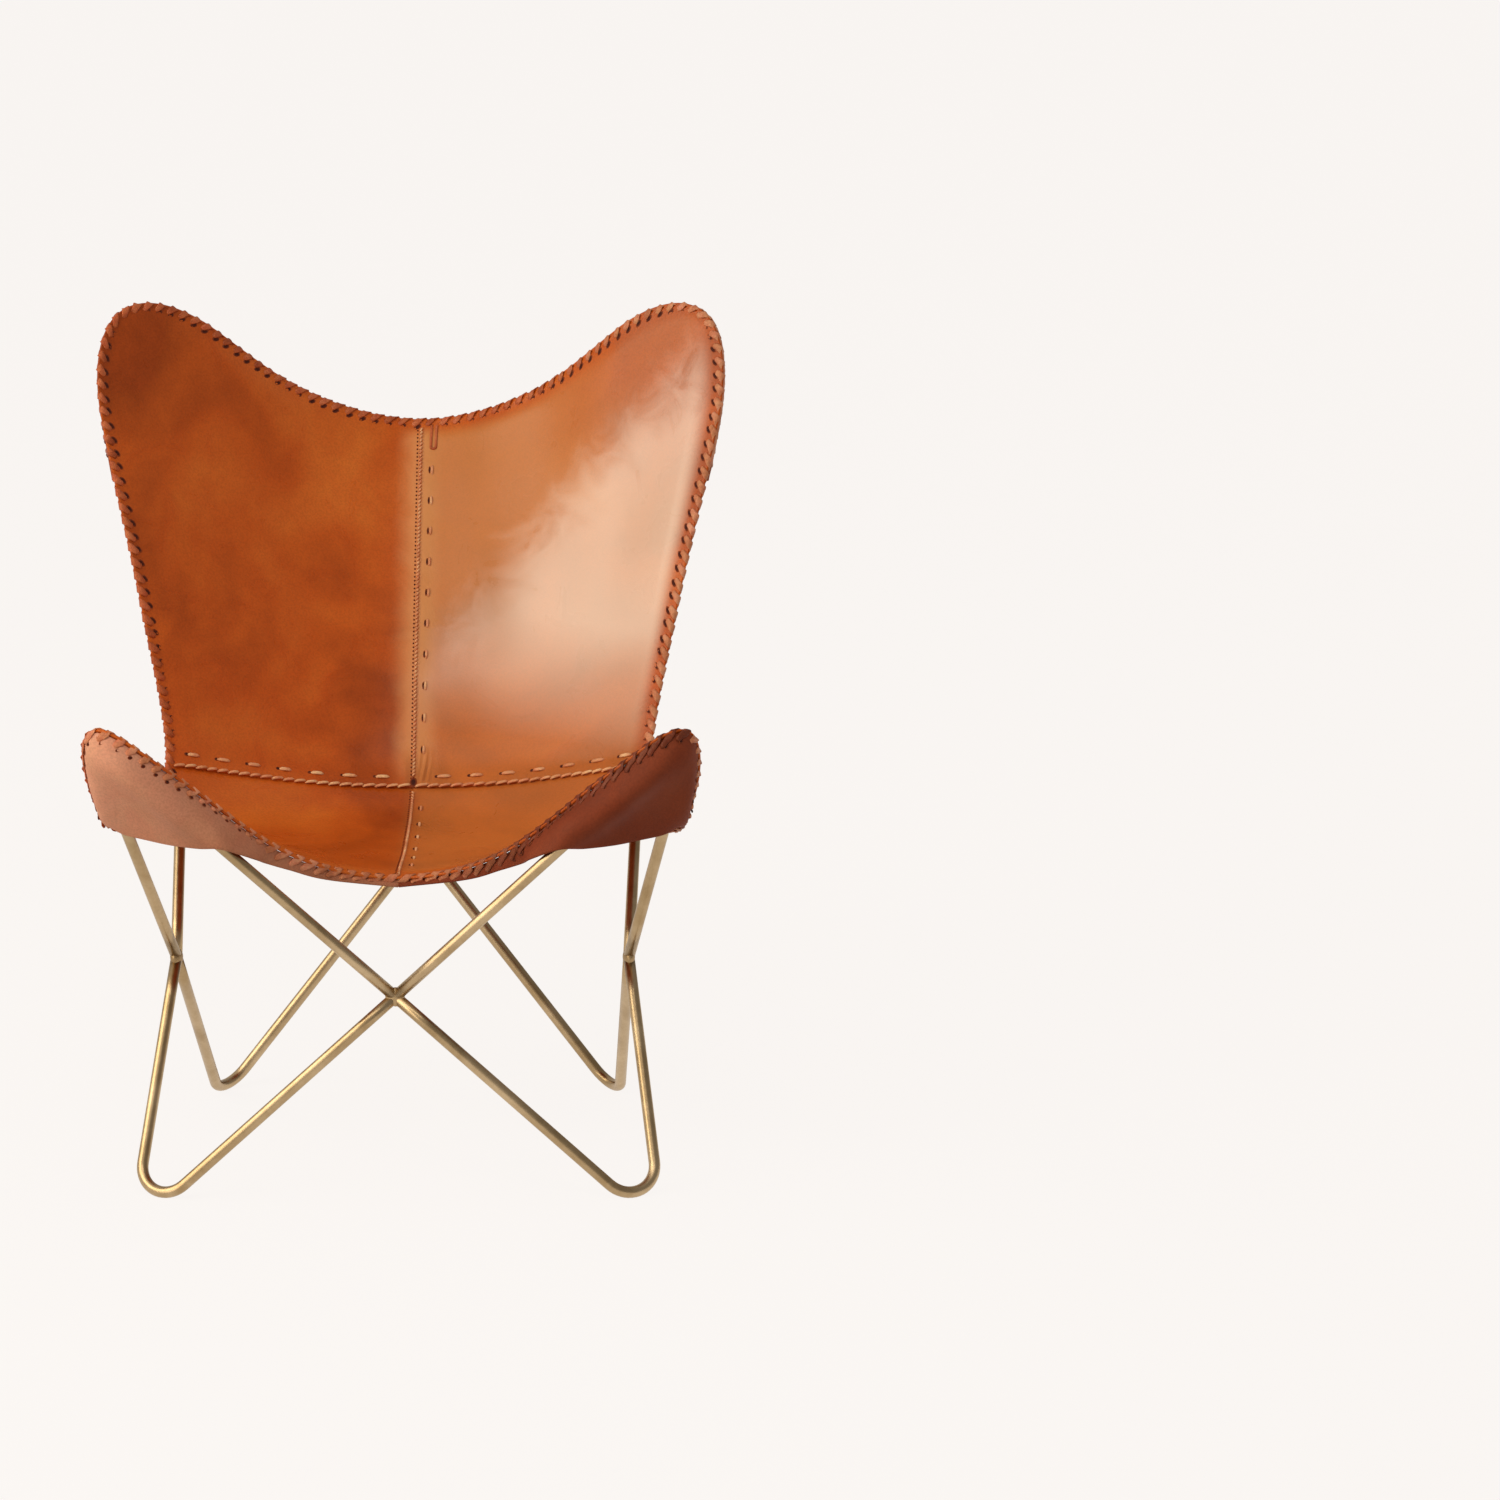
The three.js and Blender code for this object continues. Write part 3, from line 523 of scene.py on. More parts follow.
sling = {
    "thickness": 3.2,
    "armRound": (0.22, 0.3), "earRound": (0.36, 0.33),      # shares of a quarter that its round tip takes
    "rows": [    # from the front edge to the top edge, each from the middle to the right edge
        [(0, 102, 334), (112.4, 52.8, 372.5), (228.8, -1.3, 472), (349, -24, 568)],
        [(0, 248, 330), (104.7, 221.6, 338.4), (209.4, 165.3, 361.8), (308, 94, 393)],
        [(0, 387, 364), (93.2, 376, 369.6), (185, 344.4, 387.9), (270, 300, 412)],
        [(0, 472, 490.7), (104.2, 454.4, 501.7), (208.4, 414.7, 539.7), (302.1, 365.8, 592.1)],
        [(0, 557, 617.3), (117.6, 534.7, 637.4), (228.3, 485.1, 695.3), (345.9, 423.8, 782.4)],
        [(0, 642, 744), (126.9, 610.4, 780.9), (241.9, 539.9, 875.1), (381, 478, 993)],
    ],
    "seamRow": 2, "over": 1.2, "under": 5.0,                # how far panels stop short of or pass a seam
    # spacing of the grid
    "samples": 4000, "fine": 1.6, "fineTo": 26, "coarseAfter": 40, "coarse": 5.0, "edge": 2.2, "edgeBand": 16,
}
leatherHalf = sling["thickness"] / 2


def carriedOn(keys):                     # one more key at each end, straight on from the last two
    return np.concatenate([2 * keys[:1] - keys[1:2], keys, 2 * keys[-1:] - keys[-2:-1]])


netHalf = np.array(sling["rows"], float) + shift
net = np.concatenate([netHalf[:, :0:-1] * (-1, 1, 1), netHalf], axis=1)
net = carriedOn(carriedOn(net).swapaxes(0, 1)).swapaxes(0, 1)


def netWeights(u, count):                # weights of the four net points round each value
    i = np.clip(np.floor(u).astype(int), 0, count - 2)
    w = u - i
    weights = [-w + 2 * w**2 - w**3, 2 - 5 * w**2 + 3 * w**3, w + 4 * w**2 - 3 * w**3, w**3 - w**2]
    return i, np.stack(weights, -1) / 2


# Point on the sling: s from -1 to 1 across, t from -1 at the front through 0 at the cross seam to 1 on top
def onSling(s, t):
    rows, cols = net.shape[0] - 2, net.shape[1] - 2
    seamRow = sling["seamRow"]
    u = np.where(t < 0, seamRow * (1 + t), seamRow + (rows - 1 - seamRow) * t)
    i, rowWeights = netWeights(u, rows)
    j, colWeights = netWeights((s + 1) * (cols - 1) / 2, cols)
    four = np.arange(4)
    around = net[(i[..., None] + four)[..., :, None], (j[..., None] + four)[..., None, :]]
    return np.einsum("...a,...b,...abc->...c", rowWeights, colWeights, around)


def outward(s, t):                       # square to the leather, away from the sitter
    h = 1e-3
    along = onSling(s, np.minimum(t + h, 1)) - onSling(s, np.maximum(t - h, -1))
    across = onSling(np.minimum(s + h, 1), t) - onSling(np.maximum(s - h, -1), t)
    return unit(np.cross(along, across))


quarters = {                             # seat_left to back_right
    f"{half}_{word}": {"side": side, "half": way, "round": sling[tip]}
    for half, way, tip in (("seat", -1, "armRound"), ("back", 1, "earRound"))
    for word, side in sides.items()
}


# Place on a quarter: p and q run from the seams to the edges, the far corner drawn into a round tip
def placeOn(quarter, p, q):
    a, b = quarter["round"]
    x = np.maximum((p - 1 + a) / a, 0)
    y = np.maximum((q - 1 + b) / b, 0)
    pRound = np.where(x > 0, 1 - a + a * x * np.sqrt(1 - y * y / 2), p)
    qRound = np.where(y > 0, 1 - b + b * y * np.sqrt(1 - x * x / 2), q)
    s, t = quarter["side"] * pRound, quarter["half"] * qRound
    return onSling(s, t), outward(s, t)


def gridStations(length, start):         # shares of a length, close together at the seam and the edge
    s = sling
    x = np.linspace(start, length, s["samples"])
    rise = ease((x - s["fineTo"]) / s["coarseAfter"])
    spacing = s["fine"] + (s["coarse"] - s["fine"]) * rise
    spacing = np.where(x > length - s["edgeBand"], s["edge"], spacing)
    count = np.concatenate([[0], np.cumsum(np.diff(x) / spacing[1:])])
    return np.interp(np.linspace(0, count[-1], int(count[-1]) + 1), count, x) / length


def runLength(s, t):                     # length of a line on the sling
    return np.linalg.norm(np.diff(onSling(s, t), axis=0), axis=1).sum()


lengthSteps = 400
fineRun = np.linspace(0, 1, lengthSteps)
backLength = runLength(fineRun * 0, fineRun)
seatLength = runLength(fineRun * 0, -fineRun)
halfWidth = runLength(fineRun, fineRun * 0)
print("sling, mm: back", round(backLength), "seat", round(seatLength), "half width", round(halfWidth))


def spanOf(quarter):                     # length of a quarter from the cross seam to its end
    return backLength if quarter["half"] > 0 else seatLength


def flatArea(middle):                    # area of a grid of points, in square metres
    one, two = middle[1:, :-1] - middle[:-1, :-1], middle[:-1, 1:] - middle[:-1, :-1]
    return np.linalg.norm(np.cross(one, two), axis=2).sum() * mm * mm


def flatRuns(middle):                    # longest run of the grid each way, in metres
    return tuple(np.linalg.norm(np.diff(middle, axis=a), axis=2).sum(a).max() * mm for a in (0, 1))


def stateSheet(piece, flat, area):    # its flat size and area
    print(piece.name, "flat", round(flat[0], 3), "x", round(flat[1], 3), "m, area", round(area, 4))


surface = {
    # laps at the seams, and how soon all relief fades at the edges
    "lap": 1.4, "lapReach": 10, "under": 0.8, "fade": 18,
    # heights and wave lengths of the sag
    "sag": 0.5, "sagWaves": (47, 58), "sagStart": 0.6, "ripple": 0.4, "rippleWaves": (21, 33, 24, 61),
    # creases right of the crossing, in a window with soft ends
    "crease": 1.5, "creasePitch": 7.5, "creaseFrom": 4, "creaseTo": 24, "creaseEase": (5, 8),
    "creaseLean": (5, 50), "creaseLow": (4, 10), "creaseHeight": 62, "creaseFade": 40,
    # bulge left of it, and the rolled rim
    "bulge": 2.0, "bulgeAt": (11, 24), "bulgeSize": (6, 20), "rim": 2.2, "rimFrom": 6, "rimWidth": 20,
}


# How far the leather stands towards the sitter: bells at the lapped seams, sines for the hand-worked sag,
# and where the seams cross a windowed sine of creases on the right and a bell of a bulge on the left
def relief(quarter, x, d):               # x from the back seam and d from the cross seam, in mm
    r = surface
    right, back = quarter["side"] > 0, quarter["half"] > 0
    rise = (r["lap"] if right else -r["under"]) * hump(x, r["lapReach"])
    rise = rise + (r["lap"] if back else -r["under"]) * hump(d, r["lapReach"])
    sideX = x * quarter["side"]
    waveX, waveD = r["sagWaves"]
    rise = rise + r["sag"] * np.sin(sideX / waveX + r["sagStart"]) * np.sin(d / waveD + quarter["half"])
    oneX, oneD, twoD, twoX = r["rippleWaves"]
    rise = rise + r["ripple"] * r["sag"] * np.sin(sideX / oneX + d / oneD) * np.sin(d / twoD - sideX / twoX)
    if back and right:
        lean, leanOver = r["creaseLean"]
        easeIn, easeOut = r["creaseEase"]
        low, lowEase = r["creaseLow"]
        bend = x - lean * ease(d / leanOver)
        window = ease((x - r["creaseFrom"]) / easeIn) * ease((r["creaseTo"] - x) / easeOut)
        window = window * ease((d - low) / lowEase) * ease((r["creaseHeight"] - d) / r["creaseFade"])
        rise = rise + r["crease"] * window * np.sin(2 * np.pi * bend / r["creasePitch"])
    if back and not right:
        atX, atD = r["bulgeAt"]
        sizeX, sizeD = r["bulgeSize"]
        rise = rise + r["bulge"] * hump(x - atX, sizeX) * hump(d - atD, sizeD)
    return rise


def insideRim(quarter, p, q):            # 1 on the flat of the leather, 0 on its rolled rim
    r = surface
    toSide, toEnd = halfWidth * (1 - p), spanOf(quarter) * (1 - q)
    return ease((toSide - r["rimFrom"]) / r["rimWidth"]) * ease((toEnd - r["rimFrom"]) / r["rimWidth"])


# Whole rise at a place: the relief, let down to nothing at the laced edges, on a rim that rolls away there
def riseOn(quarter, p, q):
    r = surface
    x, d = p * halfWidth, q * spanOf(quarter)
    fade = ease((halfWidth - x) / r["fade"]) * ease((spanOf(quarter) - d) / r["fade"])
    return relief(quarter, x, d) * fade + r["rim"] * insideRim(quarter, p, q)


# Panel: a grid over the quarter, each point moved towards the sitter by the rise there
def panelGrid(quarter):
    over, under = sling["over"], -sling["under"]
    p = gridStations(halfWidth, over if quarter["side"] > 0 else under)
    q = gridStations(spanOf(quarter), over if quarter["half"] > 0 else under)
    p, q = np.meshgrid(p, q, indexing="ij")
    middle, out = placeOn(quarter, p, q)
    return middle - out * riseOn(quarter, p, q)[..., None], out, insideRim(quarter, p, q)


for word in sides:
    for half, end in (("seat", "front"), ("back", "back")):
        middle, out, inside = panelGrid(quarters[f"{half}_{word}"])
        points, quads, source = thickSheet(middle, out, leatherHalf)
        piece = makePiece(f"{half}_leather_{word}", points, quads, slingLeather,
                          marks={"inside": inside.ravel()[source]},
                          nodes=[f"{half}_panel_{word}"])
        stateSheet(piece, flatRuns(middle), flatArea(middle))
print("panels made")


# Pockets: a second layer laced to the panel along the edge, bulging over the rod tip to an open mouth.
# Each key: place on the laced edge (0 to 1 along the front or top, on towards 2 down the side), the open
# edge (along the rod, towards its other leg, off their plane) or how far it hangs, bulge, where it peaks

pocket = {
    "thickness": 3.0, "gap": 0.4, "inset": 0.008, "runs": 120, "rows": 34, "rowEase": 1.25,
    "nearTip": 0.8, "bendAllowance": 1.04, "wayRow": 4, "upRow": 2,    # rows that turn the lacing
    "front": {"hang": (0.5, (0, -0.3, -1)), "lean": 0.6, "keys": [
        (0.002, 6, 0, 0.5), (0.22, 8, 0, 0.5), (0.33, 11.5, 0, 0.5), (0.395, 16.5, 0, 0.5),
        (0.475, (226, -6, -12), 1, 0.5), (0.56, (190, -13, 10), 6, 0.6), (0.67, (174, 14, 11), 17.5, 0.42),
        (0.84, (154, 44, 10.5), 20, 0.26), (1.06, (133, 69, 10), 12, 0.25), (1.22, (115, 88, 10), 9, 0.4),
        (1.35, (98, 99, 8), 4, 0.5), (1.43, 5, 1, 0.5)]},
    "back": {"hang": (1, (0, 0, -0.6)), "lean": 0, "keys": [
        (0.42, 8, 1, 0.4), (0.52, (262, -84, 4), 8, 0.35), (0.62, (282, -48, 9), 14, 0.3),
        (0.74, (288, -12, 13.5), 26, 0.33), (0.9, (286, 24, 12.5), 30, 0.23),
        (1.06, (281, 58, 11.5), 26, 0.22), (1.18, (273, 88, 10), 15, 0.3), (1.29, (256, 110, 10), 9, 0.4),
        (1.38, (232, 124, 4), 4, 0.5), (1.43, 5, 1, 0.5)]},
}
pocketHalf = pocket["thickness"] / 2


def smoothRun(keys, k):                  # smooth line through keys, k from 0 to 1
    keys = np.array(keys, float)
    keys = keys.reshape(len(keys), -1)
    i, weights = netWeights(k * (len(keys) - 1), len(keys))
    return np.einsum("na,nac->nc", weights, carriedOn(keys)[i[:, None] + np.arange(4)])


def edgePlace(quarter, c, reach=1.0):    # place c along the laced edge of a quarter
    return placeOn(quarter, np.minimum(c, 1) * reach, np.minimum(2 - c, 1) * reach)


# Point = edge + chord x v + bulge x v (1 - v)^f, scaled to 1 at the peak, where f = (1 - peak) / peak
def pocketGrid(quarter, plan, tip, legs):
    s = pocket
    tip, one, two = (np.array(c) * (quarter["side"], 1, 1) for c in (tip, *legs))
    along = unit(one - tip)
    across = squareTo(along, two - tip)
    normal = np.cross(along, across)
    nearTip = np.array([s["nearTip"]])
    if placeOn(quarter, nearTip, nearTip)[1][0] @ normal < 0:   # away from the sitter
        normal = -normal
    places = np.array([key[0] for key in plan["keys"]])

    def laced(c):
        at, out = edgePlace(quarter, c, 1 - s["inset"])
        return at + out * (sling["thickness"] + s["gap"]), out

    edges, outs = laced(places)
    hangOut, hangWay = plan["hang"]
    mouths = [tip + along * key[1][0] + across * key[1][1] + normal * key[1][2] if np.ndim(key[1])
              else edge + key[1] * unit(hangOut * out + np.array(hangWay))
              for key, edge, out in zip(plan["keys"], edges, outs)]
    k = np.linspace(0, 1, s["runs"])
    c = smoothRun(places, k)[:, 0]
    edge, mouth = laced(c)[0], smoothRun(mouths, k)
    bulge, peak = smoothRun([key[2:] for key in plan["keys"]], k).T[..., None]
    lean = normal - plan["lean"] * across
    chord = mouth - edge
    run = unit(np.gradient(edge, axis=0)) + unit(np.gradient(mouth, axis=0))
    way = unit(np.cross(run, chord))
    way = way * np.sign(way @ lean)[:, None]
    v = np.linspace(0, 1, s["rows"]) ** s["rowEase"]
    fall = (1 - peak) / peak
    rise = bulge * v * (1 - v) ** fall / (peak * (1 - peak) ** fall)
    middle = edge[:, None] + chord[:, None] * v[:, None] + way[:, None] * rise[..., None]
    out = unit(np.cross(np.gradient(middle, axis=0), np.gradient(middle, axis=1)))
    out = out * np.sign((out[len(k) // 2] @ lean).sum())
    return c, middle, out


def flatExtents(middle):                 # the two greatest extents of a gently bent cut, in metres
    loose = middle.reshape(-1, 3) - middle.reshape(-1, 3).mean(0)
    turned = loose @ np.linalg.svd(loose, full_matrices=False)[2].T
    return tuple(np.ptp(turned, axis=0)[:2] * mm * pocket["bendAllowance"])


pocketEdges = {}                         # kept for the lacing: places, edge, way in, face and room


def makePocket(end, half, word, tip, legs):
    c, middle, out = pocketGrid(quarters[f"{half}_{word}"], pocket[end], tip, legs)
    points, quads, _ = thickSheet(middle, out, pocketHalf)
    leather = pocketLeather["back" if end == "back" else f"front_{word}"]
    piece = makePiece(f"{end}_pouch_{word}", points, quads, leather,
                      nodes=[f"{end}_pocket_{word}"])
    stateSheet(piece, flatExtents(middle), flatArea(middle))
    edge = middle[:, 0]
    wayIn = unit(middle[:, pocket["wayRow"]] - edge)
    room = np.linalg.norm(middle[:, -1] - edge, axis=1)[:, None]
    pocketEdges[f"{half}_{word}"] = (c, edge, wayIn, out[:, pocket["upRow"]], room)


for word in sides:
    makePocket("front", "seat", word, armTip, (frontCross, sideJoint))
    makePocket("back", "back", word, earTip, (backCross, backBendAt))
print("pockets made")


# Lacing over the edges: each stitch leaves a hole, crosses the rim at a slant and enters the far side

edging = {
    "pitch": 16.2, "holeIn": 8.4, "width": 8.0, "thick": 1.9, "lift": 0.6, "reach": 1.3,
    "advance": [-0.65, -0.57, -0.34, -0.15, 0, 0.15, 0.34, 0.57, 0.65],    # along the edge, in pitches
    "taper": [0.45, 0.8, 1, 1.1, 1.1, 1.1, 0.95, 0.75, 0.45],
    # stops: ends sunk, short of the hole, short of the rim, past it, on the far side
    "sunk": 2.2, "endRun": 1.8, "rimRun": 2.4, "rimReach": 0.7, "rimHigh": 0.75, "farRuns": (0.3, 0.8),
    "farSpare": 2, "farLeast": 3, "within": 0.97, "pocketBlend": 0.05, "sides": 8,
    "jitter": (0.4, 0.06, 0.05),         # place in mm, then shares of the advance and the width
    # holes: near and far ovals, moved off the strand's end and turned; the long near ones stand for the hole
    # and a painted shadow beside the strand
    "holeSize": (9.5, 5.0), "farHole": (5.4, 3.6), "holeAside": 5.0, "holeSpare": 5.0,
    "holeBeyond": 0.8, "farBeyond": 0.6, "holeWay": (0.6, 0.8),
}


# Places along an edge, and the far side there: the pocket's face where there is one, else the panel's back
def edgeRun(parts):
    s = edging
    spots = []
    for name, c in parts:
        quarter = quarters[name]
        at, out = edgePlace(quarter, c)
        within = edgePlace(quarter, c, s["within"])[0]
        beyond = unit(np.cross(unit(np.gradient(at, axis=0)), out))
        beyond = beyond * np.sign((beyond * (at - within)).sum(1))[:, None]
        pocketC, edge, way, up, room = pocketEdges[name]
        held = ease((c - pocketC[0]) / s["pocketBlend"]) * ease((pocketC[-1] - c) / s["pocketBlend"])
        held = held[:, None]
        farAt = at + held * (pick(edge, pocketC, c) - at)
        farWay = -beyond + held * (pick(way, pocketC, c) + beyond)
        farUp = out + held * (pick(up, pocketC, c) - out)
        farRoom = np.where(held > 0, pick(room, pocketC, c), 2 * s["holeIn"])
        spots.append((at, out, beyond, farAt, farWay, farUp, farRoom))
    at, *rest = (np.concatenate(x) for x in zip(*spots))
    return lengthsAlong(at), at, unit(np.gradient(at, axis=0)), *rest


# Strands: stops from the near hole over the rim to the far hole, moved along the edge by the advance
def makeEdgeLacing(name, node, parts, leather):
    s = edging
    placeJitter, advanceJitter, widthJitter = s["jitter"]
    length, *run = edgeRun(parts)
    count = int(round(length[-1] / s["pitch"]))
    at = (np.arange(count) + 0.5) * length[-1] / count + rng.normal(0, placeJitter, count)
    spot, along, out, beyond, farAt, farWay, farUp, farRoom = (pick(v, length, at) for v in run)
    along, out, beyond, farWay, farUp = (unit(v) for v in (along, out, beyond, farWay, farUp))
    near, far, reach = leatherHalf + s["lift"], pocketHalf + s["lift"], s["reach"]
    deep, farDeep = s["holeIn"], np.clip(farRoom - s["farSpare"], s["farLeast"], s["holeIn"])
    farRim, farEnd = s["farRuns"]
    stops = [                            # place, and the way that the strand faces there
        (spot - beyond * deep - out * (near - s["sunk"]), -out),
        (spot - beyond * (deep - s["endRun"]) - out * near, -out),
        (spot - beyond * s["rimRun"] - out * near, -out),
        (spot + beyond * reach * s["rimReach"] - out * near * s["rimHigh"], beyond - out),
        ((spot + farAt) / 2 + beyond * reach, beyond),
        (farAt + beyond * reach * s["rimReach"] + farUp * far * s["rimHigh"], beyond + farUp),
        (farAt + farWay * farDeep * farRim + farUp * far, farUp),
        (farAt + farWay * farDeep * farEnd + farUp * far, farUp),
        (farAt + farWay * farDeep + farUp * (far - s["sunk"]), farUp)]
    path, up = (np.stack(v, 1) for v in zip(*stops))
    advance = s["pitch"] * np.array(s["advance"]) * (1 + rng.normal(0, advanceJitter, (count, 1)))
    path = path + along[:, None] * advance[..., None]
    width = s["width"] * np.array(s["taper"]) * (1 + rng.normal(0, widthJitter, (count, 1)))
    points, quads, caps, uv = sweep(path, up, width, s["thick"], s["sides"])
    makePiece(name, points, quads, leather, caps, uv, nodes=[node])
    aside = along * (advance[:, -1:] - s["holeAside"])
    wayIn, wayAlong = s["holeWay"]
    nearHole = spot - beyond * (deep + s["holeBeyond"]) - out * leatherHalf - aside
    makeHoles(f"{name}_holes_near", nearHole, beyond * wayIn + along * wayAlong, -out, s["holeSize"])
    roomy = farRoom[:, 0] > s["holeIn"] + s["holeSpare"]
    farHole = farAt + farWay * (farDeep + s["farBeyond"]) + farUp * pocketHalf + aside
    farTurned = farWay * wayIn + along * wayAlong
    makeHoles(f"{name}_holes_far", farHole[roomy], farTurned[roomy], farUp[roomy], s["farHole"])


hole = {                                 # from the lip inwards
    "radii": (1.2, 0.92, 0.6, 0.3), "heights": (-0.15, 0.4, 0.2, 0.14), "paintedShadeShares": (0, 0.25, 1, 1),
    "sides": 8,
}


# Holes: low rings round a dip painted dark as the shade in the hole, each an oval lying on the leather
def makeHoles(name, place, along, up, size):
    s = hole
    count, sidesOf = len(place), s["sides"]
    along = squareTo(up, along)
    across = np.cross(up, along)
    turn = np.arange(sidesOf) * 2 * np.pi / sidesOf
    radii, heights = np.array(s["radii"])[:, None, None], np.array(s["heights"])[:, None, None]
    ring = (along[:, None, None] * radii * size[0] / 2 * np.cos(turn)[:, None]
            + across[:, None, None] * radii * size[1] / 2 * np.sin(turn)[:, None]
            + up[:, None, None] * heights)
    points = place[:, None, None] + ring
    rings = len(s["radii"])
    index = np.arange(count * rings * sidesOf).reshape(count, rings, sidesOf)
    depth = np.broadcast_to(np.array(s["paintedShadeShares"])[None, :, None], index.shape)
    makePiece(name, points.reshape(-1, 3), ringQuads(index), punchedHole, index[:, -1],
              marks={"depth": depth.reshape(-1)})


edgeSteps = 260
toTip = np.linspace(0, 1, edgeSteps)     # along the front or top edge, then down the side edge
downSide = np.linspace(1, 2, edgeSteps)
edgePlans = {
    "top_edge_lace": [("back_left", toTip[::-1]), ("back_right", toTip[1:])],
    "front_edge_lace": [("seat_right", toTip[::-1]), ("seat_left", toTip[1:])],
    "left_edge_lace": [("seat_left", downSide), ("back_left", downSide[-2::-1])],
    "right_edge_lace": [("back_right", downSide), ("seat_right", downSide[-2::-1])],
}
for node, plan in edgePlans.items():
    leather = frontLeather if "front" in node else laceLeather
    makeEdgeLacing(node.replace("lace", "lacing"), node, plan, leather)
print("edge lacing made")


stitch = {                               # shares of its length, height and width, from end to end
    "reach": (-0.5, -0.32, 0, 0.32, 0.5), "rise": (-0.35, 0.35, 0.5, 0.35, -0.35),
    "taper": (0.5, 0.95, 1.05, 0.95, 0.5), "jitter": 0.05, "sides": 6,
}


# Stitches that lie on the leather: short strands, arched between sunken ends
def makeStitches(name, node, place, along, up, length, width, high):
    s = stitch
    reach, rise, taper = (np.array(s[key]) for key in ("reach", "rise", "taper"))
    length = length * (1 + rng.normal(0, s["jitter"], len(place)))
    path = (place[:, None] + squareTo(up, along)[:, None] * (length[:, None] * reach)[..., None]
            + up[:, None] * (high * rise)[:, None])
    points, quads, caps, uv = sweep(path, up[:, None], width * taper, high, s["sides"])
    makePiece(name, points, quads, seamLeather, caps, uv, nodes=[node])


# Places every pitch along a line p(k), q(k) of a quarter, on the leather's sitter side, turned off the line
def seamRun(quarter, p, q, pitch, lift, turned=0.0):
    at, out = placeOn(quarter, p, q)
    at = at - out * (riseOn(quarter, p, q) + leatherHalf + lift)[:, None]
    length = lengthsAlong(at)
    count = int(length[-1] / pitch)
    where = (np.arange(count) + 0.5) * length[-1] / count
    run = unit(pick(unit(np.gradient(at, axis=0)), length, where))
    up = -unit(pick(out, length, where))
    turn = np.radians(turned)
    return pick(at, length, where), run * np.cos(turn) + np.cross(up, run) * np.sin(turn), up


seam = {                                 # stitches: length, width, height; lines: shares of a quarter
    "steps": 300, "line": (0.012, 0.975), "start": 0.02, "pitch": 4.8, "lift": 0.5, "slant": 32,
    "backStitch": (4.1, 2.7, 2.6), "seatStitch": (3.9, 2.3, 1.7), "dot": (2.2, 1.9), "dotAside": 3.4,
    "crossPitch": 13.2, "crossSlant": 12, "crossStitch": (14.0, 3.9, 2.6),
    "holdLine": (0.07, 0.9), "holdPitch": 36.5, "holdLift": 0.2, "holdAside": 11,
    "holdStitch": (10.5, 3.2, 1.9), "slit": (8.5, 2.4), "slitAside": 2.5,
    "crossHoldLine": (0.06, 0.96), "crossHoldAside": 16, "crossHoldStitch": (15.0, 4.6, 2.2),
    "crossHole": (4.6, 4.0), "crossHoleAt": 0.6,
    "loop": (9.2, 13.8), "loopFrom": 7, "loopTo": 36, "loopStrand": (3.2, 2.0), "loopSunk": 0.25,
    "loopSteps": (14, 12), "loopSides": 8,
    "crossingHole": (13, 7), "crossingReach": 0.022, "crossingPitch": 7, "crossingLift": 0.4,
}
line, holdLine, crossHoldLine = (
    np.linspace(*seam[key], seam["steps"]) for key in ("line", "holdLine", "crossHoldLine"))
zero = line * 0
lateLine = line + seam["start"] * (1 - line)        # leaves room for the hole at the crossing
dotLine = zero + seam["dotAside"] / halfWidth
holdAside = zero + seam["holdAside"] / halfWidth
slitAside = holdAside - seam["slitAside"] / halfWidth
crossAside = zero + seam["crossHoldAside"] / backLength

for half, side in (("back", 1), ("seat", -1)):
    left, right = quarters[f"{half}_left"], quarters[f"{half}_right"]
    run = seamRun(right, zero, lateLine, seam["pitch"], seam["lift"], -seam["slant"] * side)
    makeStitches(f"{half}_seam_lacing", f"{half}_seam_lace", *run, *seam[f"{half}Stitch"])
    run = seamRun(left, dotLine, line, seam["pitch"], 0)
    makeHoles(f"{half}_seam_holes", *run, seam["dot"])
    run = seamRun(right, holdAside, holdLine, seam["holdPitch"], seam["holdLift"])
    makeStitches(f"{half}_holding_stitches", f"{half}_holding_lace", *run, *seam["holdStitch"])
    run = seamRun(right, slitAside, holdLine, seam["holdPitch"], 0)
    makeHoles(f"{half}_holding_holes", *run, seam["slit"])

layCross = seam["crossPitch"], seam["lift"], seam["crossSlant"]
runs = [seamRun(quarters[f"back_{word}"], line[::side], zero, *layCross) for word, side in sides.items()]
run = (np.concatenate(v) for v in zip(*runs))
makeStitches("cross_seam_lacing", "cross_seam_lace", *run, *seam["crossStitch"])

for word, side in sides.items():
    place, run, up = seamRun(quarters[f"back_{word}"], crossHoldLine[::side], crossAside,
                             seam["holdPitch"], seam["holdLift"])
    makeStitches(f"cross_holding_stitches_{word}", f"cross_holding_lace_{word}", place, run, up,
                 *seam["crossHoldStitch"])
    end = place - run * (seam["crossHoleAt"] * seam["crossHoldStitch"][0]) - up * seam["holdLift"]
    makeHoles(f"cross_holding_holes_{word}", end, run, up, seam["crossHole"])


